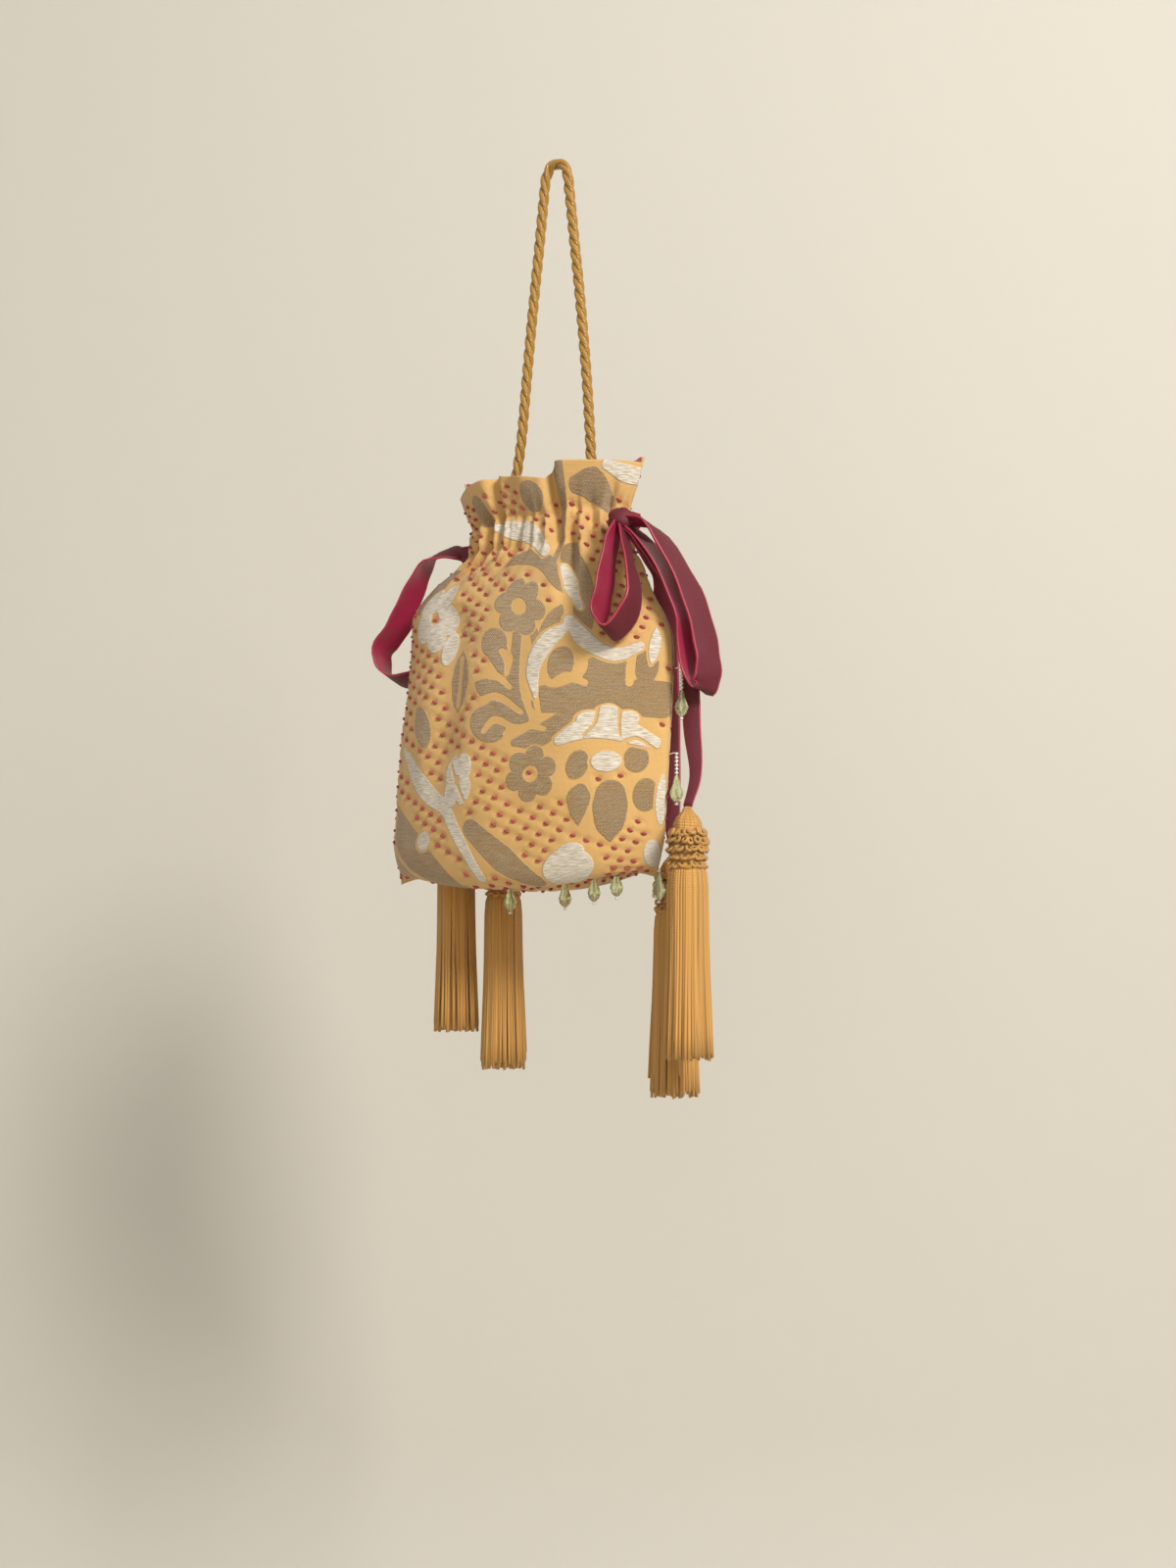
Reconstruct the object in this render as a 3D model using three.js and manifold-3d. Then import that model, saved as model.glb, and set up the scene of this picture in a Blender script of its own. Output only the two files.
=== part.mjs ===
// Potli bag: a lined drawstring pouch of quilted brocade that hangs from a twisted rope handle.
// Millimetres, +Z up. The origin is where a hook carries the handle, X runs from seam to seam,
// and the front faces -Y. The pouch is drawn filled, as it hangs.

import * as THREE from 'three';
import { mergeVertices } from 'three/addons/utils/BufferGeometryUtils.js';
import ManifoldModule from 'manifold-3d';

const wasm = await ManifoldModule();
wasm.setup();

// Pouch
const handleDrop = 156.5; // hook to the rim of the mouth
const ruffleHeight = 29; // rim to the middle of the drawstring channel
const bodyHeight = 173; // middle of the channel to the corners of the bottom seam
const rimWidth = 108;
const rimDepth = 50;
const neckWidth = 92;
const neckDepth = 34;
const bodyWidth = 162;
const bodyDepth = 64;
const neckShift = -3; // middle of the neck, from the hook's plumb line
const bodyLean = -16; // how much further to -X the middle of the bottom hangs
const bottomSag = 17.5; // the filled panels hang below the bottom seam

// Cloth layers
const brocadeWall = 1.2;
const liningWall = 0.8;
const layerGap = 0.4; // between cloth layers, and around the ribbon in its channel
const seamGap = 0.3; // between the edges of two panels
const liningEase = 1.2; // the lining is cut a little short of the bottom seam

// Drawstrings: a ribbon runs scrunched in the channel and spreads to its full width outside
const ribbonWidth = 16;
const ribbonThickness = 1;
const runHeight = 7;
const runThickness = 1.6;
const runSplit = 0.8; // between the two runs, one above the other
const knotRadius = 5.5;
const tailEndWidth = 4; // the tail is folded where a tassel is sewn on
const slotReach = 6; // how far a ribbon runs straight through its slot
const knotLead = 7; // width of a loop or a tail inside its knot
const slotLap = 0.2; // how far the straight piece starts inside the run
const slotDepth = 12; // of the cut through the side seam, across the cloth layers

// Handle
const ropeDiameter = 5.5;

// Tassels
const domeHeight = 11;
const domeRadius = 8;
const ruffHeight = 19;
const ruffRadius = 10;
const ruffNeckRadius = 6;
const skirtLength = 91;
const skirtTopRadius = 10.5;
const skirtEndRadius = 12.5;
const tasselGap = 0.4; // between a tassel's threads and its ruff
const frontTasselReach = 14.863; // from the right seam to the axis of the tassel beside it
const hangGap = 1; // between a tail's end and the tassel's hanging loop
const loopRadius = 1.6; // of the hanging loop
const loopHeight = 2.5;
const skirtShoulder = 2; // height over which the threads spread below the ruff
const ruffGroove = 1.2; // between the two rows of knots

// Beaded drops
const seedRadius = 0.95;
const seedPitch = 1.9;
const seedWaist = 0.45;
const stopHeight = 1.7; // of the bead that stops the drop
const threadRadius = 0.3;
const dropLength = 13;
const dropRadius = 3.3;
const dropBore = 0.6;
const dropCollar = 0.5; // width of the flat rim around the bore
const beadGap = 0.3; // between a drop, its thread and the beads above and below
const seamClearance = 0.7; // from a hanging drop to the seam beside it
const seamLead = 2.6; // bare thread between the bottom seam and the first seed bead

// Facets around round pieces
const ropeSides = 8;
const tasselSides = 12;
const dropSides = 8;
const seedSides = 6;

const rimZ = -handleDrop;
const channelZ = rimZ - ruffleHeight;

// Drawstring channel: the right ribbon's run lies above the left one's
const runInset = brocadeWall + layerGap;
const runOffset = (runHeight + runSplit) / 2;
const channelHalf = runHeight + runSplit / 2 + layerGap;
const channelFade = 9; // height over which the lining comes back to the brocade
const runMiddle = { right: channelZ + runOffset, left: channelZ - runOffset };
const handOf = { right: 1, left: -1 };

// Outline of the pouch, as [position, share] rows. The ruffle runs from the channel (0) to the rim (1),
// and the body from the channel (0) to the bottom seam (1).
const ruffleFlare = [[0, 0], [0.3, 0.1], [0.6, 0.55], [1, 1]];
const bodySpread = [
  [0, 0], [0.05, 0.07], [0.09, 0.25], [0.13, 0.47], [0.2, 0.71], [0.265, 0.83], [0.34, 0.91], [0.5, 0.933],
  [0.66, 0.953], [0.85, 0.986], [1, 1],
];
const bodyShift = [
  [0, 0], [0.05, 0.07], [0.09, 0.27], [0.13, 0.52], [0.2, 0.76], [0.265, 0.62], [0.34, 0.48], [0.5, 0.54],
  [0.66, 0.71], [0.85, 0.91], [1, 1],
];
const bodySwell = [[0, 0], [0.12, 0.2], [0.265, 0.55], [0.5, 0.92], [0.7, 1], [1, 1]];
const bottomClosing = [[0, 1], [0.7, 1], [0.85, 0.91], [0.92, 0.78], [0.95, 0.56], [0.975, 0.25], [1, 0]];
const sagShare = [
  [0, 0], [0.6, 0], [0.75, 0.15], [0.85, 0.5], [0.92, 0.95], [0.95, 1], [0.975, 0.5], [1, -0.45],
];

// Heights at which the cloth is sampled: the rim is -1, the channel 0 and the bottom seam 1
const clothRows = [
  -1, -0.75, -0.5, -channelHalf / ruffleHeight, 0, channelHalf / bodyHeight,
  0.09, 0.14, 0.2, 0.27, 0.34, 0.5, 0.66, 0.78, 0.86, 0.92, 0.95, 0.975, 1,
];
const clothColumns = 14;
const runStations = 40;

// Smooth curve through the rows of a table, each a [position, value] pair
function along(rows, x) {
  const last = rows.length - 1;
  let i = 0;
  while (i < last - 1 && x > rows[i + 1][0]) {
    i += 1;
  }
  const slopeAt = (k) => {
    const before = rows[Math.max(k - 1, 0)];
    const after = rows[Math.min(k + 1, last)];
    return (after[1] - before[1]) / (after[0] - before[0]);
  };
  const [x0, y0] = rows[i];
  const [x1, y1] = rows[i + 1];
  const step = x1 - x0;
  const t = (x - x0) / step;
  const rise = y1 - y0;
  const m0 = slopeAt(i) * step;
  const m1 = slopeAt(i + 1) * step;
  return y0 + t * (m0 + t * (3 * rise - 2 * m0 - m1 + t * (m0 + m1 - 2 * rise)));
}

// Width, depth and middle of the pouch at one height
function section(s) {
  const up = Math.max(-s, 0);
  const down = Math.max(s, 0);
  const flare = along(ruffleFlare, up);
  const swell = along(bodySwell, down);
  const spread = along(bodySpread, down);
  const depth = neckDepth + (rimDepth - neckDepth) * flare + (bodyDepth - neckDepth) * swell;
  return {
    width: neckWidth + (rimWidth - neckWidth) * flare + (bodyWidth - neckWidth) * spread,
    depth: depth * along(bottomClosing, down),
    middle: neckShift + bodyLean * along(bodyShift, down),
  };
}

// Near the bottom seam the panels turn under: the layers lie above each other there,
// and are pressed together in the corners
const turnUnder = [0.84, 0.94];
const cornerPress = 8; // inset at which a layer would reach the middle of a corner

// One point of a cloth layer: s is the height, across runs from the right seam (0) to the left seam (1),
// side is -1 on the front and 1 on the back, and inset is the distance in from the outside of the pouch
function clothPoint(s, across, side, inset) {
  const { width, depth, middle } = section(s);
  const angle = Math.PI * across;
  const bluntness = 1.22 + 0.28 * Math.cos(angle);
  const bulge = Math.sin(angle) ** bluntness;
  const under = THREE.MathUtils.smoothstep(s, ...turnUnder);
  const uprightDepth = depth / 2 - inset;
  const underDepth = (depth / 2) * (1 - (inset / cornerPress) * (1 - Math.sin(angle)));
  const x = middle + (width / 2 - inset) * Math.cos(angle);
  const y = side * (seamGap / 2 + THREE.MathUtils.lerp(uprightDepth, underDepth, under) * bulge);
  if (s < 0) {
    return new THREE.Vector3(x, y, channelZ - s * ruffleHeight);
  }
  const sag = bottomSag * along(sagShare, s) * Math.sin(angle) ** 2;
  return new THREE.Vector3(x, y, channelZ - s * (bodyHeight - inset) - sag);
}

// Height on the pouch, from -1 at the rim to 1 at the bottom seam
function heightAt(z) {
  return (channelZ - z) / (z > channelZ ? ruffleHeight : bodyHeight);
}

// X of a side seam at a height, right (1) or left (-1)
function seamX(z, hand) {
  const { width, middle } = section(heightAt(z));
  return middle + (hand * width) / 2;
}

// Closed geometry from corners and triangles, turned so that its faces point out
function closedGeometry(points, triangles) {
  let volume = 0;
  for (const [a, b, c] of triangles) {
    volume += points[a].dot(new THREE.Vector3().crossVectors(points[b], points[c]));
  }
  const facing = volume > 0 ? triangles : triangles.map(([a, b, c]) => [a, c, b]);
  const geometry = new THREE.BufferGeometry();
  geometry.setAttribute('position', new THREE.Float32BufferAttribute(points.flatMap((p) => p.toArray()), 3));
  geometry.setIndex(facing.flat());
  return geometry;
}

function quad(triangles, a, b, c, d) {
  triangles.push([a, b, c], [a, c, d]);
}

// A sheet of cloth between an outer and an inner surface, each a function of row and column
function sheet(outer, inner, rows, columns) {
  const points = [];
  const triangles = [];
  for (const surface of [outer, inner]) {
    for (let i = 0; i <= rows; i += 1) {
      for (let j = 0; j <= columns; j += 1) {
        points.push(surface(i, j));
      }
    }
  }
  const layer = (rows + 1) * (columns + 1);
  const out = (i, j) => i * (columns + 1) + j;
  const inn = (i, j) => layer + out(i, j);
  for (let i = 0; i < rows; i += 1) {
    for (let j = 0; j < columns; j += 1) {
      quad(triangles, out(i, j), out(i + 1, j), out(i + 1, j + 1), out(i, j + 1));
      quad(triangles, inn(i, j), inn(i, j + 1), inn(i + 1, j + 1), inn(i + 1, j));
    }
    quad(triangles, out(i, 0), inn(i, 0), inn(i + 1, 0), out(i + 1, 0));
    quad(triangles, out(i, columns), out(i + 1, columns), inn(i + 1, columns), inn(i, columns));
  }
  for (let j = 0; j < columns; j += 1) {
    quad(triangles, out(0, j), out(0, j + 1), inn(0, j + 1), inn(0, j));
    quad(triangles, out(rows, j), inn(rows, j), inn(rows, j + 1), out(rows, j + 1));
  }
  return closedGeometry(points, triangles);
}

// A cloth panel, from seam to seam and from rim to bottom seam
function clothPanel(side, insetAt, wall) {
  const surface = (extra) => (i, j) => {
    const s = clothRows[i];
    return clothPoint(s, j / clothColumns, side, insetAt(s) + extra);
  };
  return sheet(surface(0), surface(wall), clothRows.length - 1, clothColumns);
}

function toSolid(geometry) {
  const bare = geometry.clone();
  bare.deleteAttribute('normal');
  bare.deleteAttribute('uv');
  const merged = mergeVertices(bare, 1e-4);
  const vertProperties = new Float32Array(merged.attributes.position.array);
  const triVerts = new Uint32Array(merged.index.array);
  return new wasm.Manifold(new wasm.Mesh({ numProp: 3, vertProperties, triVerts }));
}

function fromSolid(solid) {
  const mesh = solid.getMesh();
  const geometry = new THREE.BufferGeometry();
  geometry.setAttribute('position', new THREE.BufferAttribute(mesh.vertProperties, 3));
  geometry.setIndex(new THREE.BufferAttribute(mesh.triVerts, 1));
  return geometry;
}

function joined(geometries) {
  return fromSolid(geometries.map(toSolid).reduce((whole, next) => whole.add(next)));
}

const potliBag = new THREE.Group();

function addPiece(name, geometry, colour, roughness, metalness = 0) {
  const material = new THREE.MeshStandardMaterial({ color: colour, roughness, metalness });
  const mesh = new THREE.Mesh(geometry, material);
  mesh.name = name;
  potliBag.add(mesh);
}

// The lining steps in behind the channel to make room for the ribbons
function liningInset(s) {
  const away = s < 0 ? -s * ruffleHeight : s * bodyHeight;
  const room = THREE.MathUtils.smoothstep(channelHalf + channelFade - away, 0, channelFade);
  const ease = liningEase * THREE.MathUtils.smoothstep(s, ...turnUnder);
  return runInset + room * (runThickness + layerGap) + ease;
}

// Slots in the side seams where a ribbon leaves its channel
function seamSlot(hand) {
  const slot = new THREE.BoxGeometry(slotDepth, runThickness + 2 * layerGap, runHeight + 2 * layerGap);
  return slot.translate(seamX(runMiddle[hand], handOf[hand]), 0, runMiddle[hand]);
}

const slots = ['right', 'left'].map((hand) => toSolid(seamSlot(hand)));
for (const [name, side] of [['front', -1], ['back', 1]]) {
  const uncut = toSolid(clothPanel(side, () => 0, brocadeWall));
  const panel = slots.reduce((cloth, slot) => cloth.subtract(slot), uncut);
  addPiece(`${name}_brocade_panel`, fromSolid(panel), '#dfae62', 0.55);
  addPiece(`${name}_lining_panel`, clothPanel(side, liningInset, liningWall), '#7a1f33', 0.7);
}

// Rope handle, from the inside of the left seam over the hook to the inside of the right seam
const ropeRoute = [
  [-46.5, 0, -210], [-43, 0, -200], [-37, 0, -188], [-30.5, 0, -172], [-25, 0, -156], [-21.4, 0, -137],
  [-18.8, 0, -113], [-16.2, 0, -88], [-13.4, 0, -63], [-10.4, 0, -38], [-7.6, 0, -13], [-6.3, 0, -3.5],
  [-3.6, 0, 1.6], [0, 0, 2.75],
  [3.6, 0, 1.6], [6.3, 0, -3.5], [7.6, 0, -13], [10.4, 0, -38], [13.3, 0, -63], [15.8, 0, -88], [18, 0, -113],
  [19.6, 0, -137], [21, 0, -156], [25.5, 0, -172], [31, 0, -188], [36.5, 0, -200], [39.5, 0, -210],
];
const ropeSteps = 72;

function ropeGeometry() {
  const path = new THREE.CatmullRomCurve3(ropeRoute.map((p) => new THREE.Vector3(...p)));
  const corners = Array.from({ length: ropeSides }, (_, i) => {
    const angle = (2 * Math.PI * i) / ropeSides;
    return new THREE.Vector2(Math.cos(angle), Math.sin(angle)).multiplyScalar(ropeDiameter / 2);
  });
  return new THREE.ExtrudeGeometry(new THREE.Shape(corners), { steps: ropeSteps, extrudePath: path });
}

addPiece('handle_rope', ropeGeometry(), '#b5852f', 0.5);

// A flat ribbon through points, with the direction of its width at each, as [x, y, z, [wx, wy, wz], width]
function band(stations, thickness, stepsBetween = 3) {
  const curveOf = (vectors) => new THREE.CatmullRomCurve3(vectors, false, 'centripetal');
  const centre = curveOf(stations.map(([x, y, z]) => new THREE.Vector3(x, y, z)));
  const across = curveOf(stations.map((station, i) => new THREE.Vector3(...station[3]).addScalar(1e-6 * i)));
  const widths = stations.map((station, i) => [i, station[4] ?? ribbonWidth]);
  const steps = (stations.length - 1) * stepsBetween;
  const points = [];
  const triangles = [];
  for (let i = 0; i <= steps; i += 1) {
    const t = i / steps;
    const at = centre.getPoint(t);
    const forward = centre.getTangent(t);
    const wide = across.getPoint(t);
    wide.addScaledVector(forward, -wide.dot(forward)).normalize();
    const out = new THREE.Vector3().crossVectors(forward, wide);
    const halfWidth = along(widths, t * (stations.length - 1)) / 2;
    for (const [u, v] of [[1, 1], [-1, 1], [-1, -1], [1, -1]]) {
      points.push(at.clone().addScaledVector(wide, u * halfWidth).addScaledVector(out, (v * thickness) / 2));
    }
  }
  for (let i = 0; i < steps; i += 1) {
    for (let k = 0; k < 4; k += 1) {
      const a = 4 * i + k;
      const b = 4 * i + ((k + 1) % 4);
      quad(triangles, a, b, b + 4, a + 4);
    }
  }
  quad(triangles, 3, 2, 1, 0);
  quad(triangles, 4 * steps, 4 * steps + 1, 4 * steps + 2, 4 * steps + 3);
  return closedGeometry(points, triangles);
}

// The ribbon's run around the channel, from one side of its seam slot back to the other
function channelRun(hand) {
  const high = runMiddle[hand] + runHeight / 2;
  const low = runMiddle[hand] - runHeight / 2;
  const inside = runInset + runThickness;
  const points = [];
  const triangles = [];
  for (let j = 0; j < runStations; j += 1) {
    const turn = (2 * j) / runStations;
    const side = turn < 1 ? -1 : 1;
    const across = side < 0 ? turn : 2 - turn;
    for (const [z, inset] of [[high, runInset], [low, runInset], [low, inside], [high, inside]]) {
      points.push(clothPoint(heightAt(z), across, side, inset).setZ(z));
    }
  }
  for (let j = 0; j < runStations; j += 1) {
    const next = (j + 1) % runStations;
    for (let k = 0; k < 4; k += 1) {
      quad(triangles, 4 * j + k, 4 * j + ((k + 1) % 4), 4 * next + ((k + 1) % 4), 4 * next + k);
    }
  }
  return closedGeometry(points, triangles);
}

// Tassels hang from the tail ends: the place of each top, below the hook
const frontTasselZ = -329;
const tasselTops = {
  right_front: [seamX(frontTasselZ, 1) + frontTasselReach, -6, frontTasselZ],
  right_rear: [56, 22, -349],
  left_outer: [-83, 32, -318],
  left_inner: [-57, 39, -338],
};

// Routes of the two ribbons outside the pouch. Each bow has two loops and two tails around its knot.
const vertical = [0, 0, 1];
const loopWide = [0, -0.92, 0.37];
const backWide = [0.94, 0.3, 0.1];
const tailWide = [0.35, 0.94, 0];
const seamWide = [0.98, 0.2, 0];
const knots = { right: [45.5, -15, -187], left: [-58, 12, -192] };
const bows = {
  right: {
    exit: [[50, -4, -186, vertical, runHeight], [49.5, -10, -187, vertical, 9]],
    loops: [
      [
        [44, -21, -198, loopWide, 12], [42.6, -27, -222, loopWide], [41, -28.5, -238, loopWide],
        [47.5, -28, -245, loopWide], [57.6, -23, -230, loopWide], [51.5, -18, -203, loopWide, 12],
      ],
      [
        [59.5, -12, -190, loopWide, 12], [77.5, -5, -219, loopWide], [85, 0, -247, loopWide],
        [86, 1, -264, loopWide], [82, 1, -271, loopWide], [77, 0, -259, loopWide], [75.2, -2, -236, loopWide],
        [62, -9, -206, loopWide, 12],
      ],
    ],
    tails: {
      right_front: [
        [55, -10, -197, tailWide, 10], [62, 0, -211, tailWide, 10], [69.5, 7.5, -228, seamWide, 9],
        [72, 7.5, -255, seamWide, 9], [73.5, 7.5, -288, seamWide, 9], [78.5, 1.5, -313, seamWide, 6],
      ],
      right_rear: [
        [53, -2, -199, tailWide, 11], [59, 12, -212, backWide, 12], [54, 22, -240, backWide],
        [52, 27, -285, backWide], [54, 26, -325, backWide, 10],
      ],
    },
  },
  left: {
    exit: [[-58.5, 1.5, -189.5, vertical, runHeight], [-60.5, 6.5, -190, vertical, 8]],
    loops: [
      [
        [-65, 5, -187, [0, 0.8, 0.6], 12], [-78, 1, -190, [0, 0.9, 0.4]], [-88, -1, -206, [0.2, 0.95, 0.2]],
        [-98, -1, -224, [0.2, 0.95, -0.2]], [-110, 0, -238, [0, 0.95, -0.3]],
        [-107, 3, -250, [0, 0.95, -0.3]],
        [-96, 10, -252, [0.2, 0.95, -0.2]], [-84, 23, -238, [0.3, 0.9, 0]],
        [-68, 22, -208, [0.3, 0.9, 0], 12],
      ],
      [
        [-52, 20, -203, backWide, 12], [-44, 31, -224, backWide], [-42, 42, -252, backWide],
        [-46, 46, -259, backWide], [-50, 43, -250, backWide], [-54, 30, -222, backWide],
        [-57, 19, -204, backWide, 12],
      ],
    ],
    tails: {
      left_outer: [
        [-67, 21, -212, backWide, 11], [-78, 26, -242, backWide, 13], [-83, 30, -275, backWide, 12],
        [-83, 31, -302, backWide, 8],
      ],
      left_inner: [
        [-60, 26, -212, backWide, 11], [-62, 36, -248, backWide, 13], [-60, 41, -290, backWide, 12],
        [-57.5, 40, -322, backWide, 8],
      ],
    },
  },
};

function ribbonGeometry(hand) {
  const { exit, loops, tails } = bows[hand];
  const knot = knots[hand];
  const slotX = seamX(runMiddle[hand], handOf[hand]) - handOf[hand] * (runInset + slotLap);
  const fromChannel = [slotX, 0, runMiddle[hand], vertical, runHeight];
  const beyondSlot = [slotX + handOf[hand] * slotReach, 0, runMiddle[hand], vertical, runHeight];
  const knotWith = (wide, width) => [...knot, wide, width];
  const pieces = [
    channelRun(hand),
    band([fromChannel, beyondSlot, ...exit, knotWith(vertical, knotLead)], runThickness),
    new THREE.SphereGeometry(knotRadius, 10, 8).translate(...knot),
  ];
  for (const loop of loops) {
    const [start, finish] = [loop[0], loop.at(-1)].map((station) => knotWith(station[3], knotLead));
    pieces.push(band([start, ...loop, finish], ribbonThickness));
  }
  for (const [tassel, tail] of Object.entries(tails)) {
    const [x, y, z] = tasselTops[tassel];
    const end = [x, y, z + hangGap, tail.at(-1)[3], tailEndWidth];
    pieces.push(band([knotWith(tail[0][3], knotLead), ...tail, end], ribbonThickness));
  }
  return joined(pieces);
}

addPiece('right_drawstring_ribbon', ribbonGeometry('right'), '#7d1a30', 0.8);
addPiece('left_drawstring_ribbon', ribbonGeometry('left'), '#7d1a30', 0.8);

// A solid turned about Z from [radius, height] pairs, listed from the top down its outside
function turned(profile, sides) {
  const outline = profile.toReversed().map(([radius, height]) => new THREE.Vector2(radius, height));
  return new THREE.LatheGeometry(outline, sides).rotateX(Math.PI / 2);
}

// Tassel: threads folded over a hanging loop, bound by a knotted ruff, with its top at the origin
const ruffTop = -domeHeight;
const ruffBottom = ruffTop - ruffHeight;
const skirtEnd = ruffBottom - skirtLength;
const skirtMiddleRadius = (2 * skirtTopRadius + skirtEndRadius) / 3;
function tasselThreads() {
  return turned([
    [0, 0], [loopRadius / 2, -loopHeight / 4], [loopRadius, -loopHeight],
    [domeRadius * 0.75, -domeHeight * 0.45], [domeRadius, ruffTop],
    [ruffNeckRadius, ruffTop - tasselGap], [ruffNeckRadius, ruffBottom + tasselGap],
    [skirtTopRadius, ruffBottom - skirtShoulder], [skirtMiddleRadius, ruffBottom - skirtLength / 2],
    [skirtEndRadius, skirtEnd], [0, skirtEnd],
  ], tasselSides);
}

function tasselRuff() {
  const bore = ruffNeckRadius + tasselGap;
  const low = ruffBottom + 2 * tasselGap;
  const high = ruffTop - 2 * tasselGap;
  const middle = (low + high) / 2;
  const waist = ruffRadius - ruffGroove;
  return turned([
    [bore, high], [waist, high], [ruffRadius, (high + middle) / 2], [ruffRadius - ruffGroove / 2, middle],
    [ruffRadius, (low + middle) / 2], [waist, low], [bore, low], [bore, high],
  ], tasselSides);
}

for (const [name, top] of Object.entries(tasselTops)) {
  addPiece(`${name}_tassel_threads`, tasselThreads().translate(...top), '#c98f3c', 0.6);
  addPiece(`${name}_tassel_ruff`, tasselRuff().translate(...top), '#c08533', 0.6);
}

// Beaded drops: a thread of seed beads, a bored crystal drop and a stop bead.
// The first bead is at the origin.
function seedString(seeds, lead) {
  const profile = [[0, lead + threadRadius], [threadRadius, lead]];
  for (let i = 0; i < seeds; i += 1) {
    const z = -i * seedPitch;
    profile.push([seedRadius, z + seedRadius * 0.45], [seedRadius, z - seedRadius * 0.45]);
    profile.push([i < seeds - 1 ? seedWaist : threadRadius, z - seedPitch / 2]);
  }
  const stop = dropTop(seeds) - dropLength - beadGap;
  profile.push([threadRadius, stop], [seedRadius, stop - seedRadius * 0.5]);
  profile.push([seedRadius, stop - seedRadius * 1.2], [0, stop - stopHeight]);
  return turned(profile, seedSides);
}

function dropTop(seeds) {
  return -(seeds - 0.5) * seedPitch - beadGap;
}

function crystalDrop(seeds) {
  const top = dropTop(seeds);
  const widest = top - dropLength * 0.66;
  const tip = top - dropLength;
  const collar = dropBore + dropCollar;
  return turned([
    [dropBore, top], [collar, top], [dropRadius * 0.55, top - dropLength * 0.3], [dropRadius, widest],
    [dropRadius * 0.75, tip + dropLength * 0.14], [collar, tip], [dropBore, tip], [dropBore, top],
  ], dropSides);
}

function hangLength(seeds) {
  return dropLength + beadGap - dropTop(seeds) + stopHeight;
}

function addDrop(name, seeds, lead, place, stub) {
  const string = seedString(seeds, lead);
  const beads = stub ? joined([string, stub]) : string;
  addPiece(`${name}_seed_string`, beads.translate(...place), '#d9d6c4', 0.2);
  addPiece(`${name}_crystal_drop`, crystalDrop(seeds).translate(...place), '#c9cf96', 0.08);
}

// Drops on the right side seam, by their distance below the channel.
// They hang clear of the seam, on a short thread from it.
const sideDrops = {
  side_upper: { below: 74.5, seeds: 6 },
  side_lower: { below: 116.5, seeds: 6 },
};
for (const [name, { below, seeds }] of Object.entries(sideDrops)) {
  const z = channelZ - below;
  const tip = z - hangLength(seeds);
  const outermost = Math.max(seamX(z, 1), seamX((z + tip) / 2, 1), seamX(tip, 1));
  const x = outermost + dropRadius + seamClearance;
  const reach = x - seamX(z, 1) - beadGap;
  const stub = new THREE.CylinderGeometry(threadRadius, threadRadius, reach, seedSides);
  stub.rotateZ(Math.PI / 2).translate(-reach / 2, 0, 0);
  addDrop(name, seeds, seedRadius, [x, 0, z], stub);
}

// Drops along the bottom seam, by their distance from the right corner. They hang straight below the seam.
const bottomDrops = {
  bottom_left: { fromCorner: 90, seeds: 6, lead: seamLead },
  bottom_middle: { fromCorner: 57, seeds: 5, lead: seamLead },
  bottom_right: { fromCorner: 40, seeds: 3, lead: seamLead },
  bottom_end: { fromCorner: 27, seeds: 1, lead: seamLead },
  corner: { fromCorner: 3, seeds: 1, lead: seedRadius },
};
const { middle: bottomMiddle, width: bottomWidth } = section(1);
for (const [name, { fromCorner, seeds, lead }] of Object.entries(bottomDrops)) {
  const x = bottomMiddle + bottomWidth / 2 - fromCorner;
  const across = Math.acos(1 - (2 * fromCorner) / bottomWidth) / Math.PI;
  const z = clothPoint(1, across, -1, 0).z - beadGap - lead - threadRadius;
  addDrop(name, seeds, lead, [x, 0, z]);
}

export default potliBag;
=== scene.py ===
import math

import bpy
import numpy as np
from mathutils import Matrix, Vector


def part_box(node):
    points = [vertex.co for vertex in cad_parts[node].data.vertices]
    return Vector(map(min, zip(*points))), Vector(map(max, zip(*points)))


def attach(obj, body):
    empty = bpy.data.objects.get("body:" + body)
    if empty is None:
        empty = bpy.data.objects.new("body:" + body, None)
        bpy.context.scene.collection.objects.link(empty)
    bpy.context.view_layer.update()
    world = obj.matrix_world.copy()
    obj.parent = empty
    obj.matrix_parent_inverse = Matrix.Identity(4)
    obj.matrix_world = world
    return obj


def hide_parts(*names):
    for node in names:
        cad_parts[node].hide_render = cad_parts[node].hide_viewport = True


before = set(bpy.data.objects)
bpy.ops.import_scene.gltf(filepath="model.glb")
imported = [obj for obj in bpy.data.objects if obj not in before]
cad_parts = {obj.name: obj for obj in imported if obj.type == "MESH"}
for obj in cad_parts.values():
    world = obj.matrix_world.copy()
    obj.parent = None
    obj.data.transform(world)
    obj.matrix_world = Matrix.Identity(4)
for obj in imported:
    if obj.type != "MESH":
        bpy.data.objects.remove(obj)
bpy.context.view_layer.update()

bl_info = {
    "name": "Potli bag",
    "version": (1, 0, 0),
    "blender": (4, 5, 0),
    "location": "View3D > Sidebar > Potli",
    "description": "Makes a quilted brocade potli with its rope, ribbon bows, tassels and beaded drops",
    "category": "Add Mesh",
}

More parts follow.
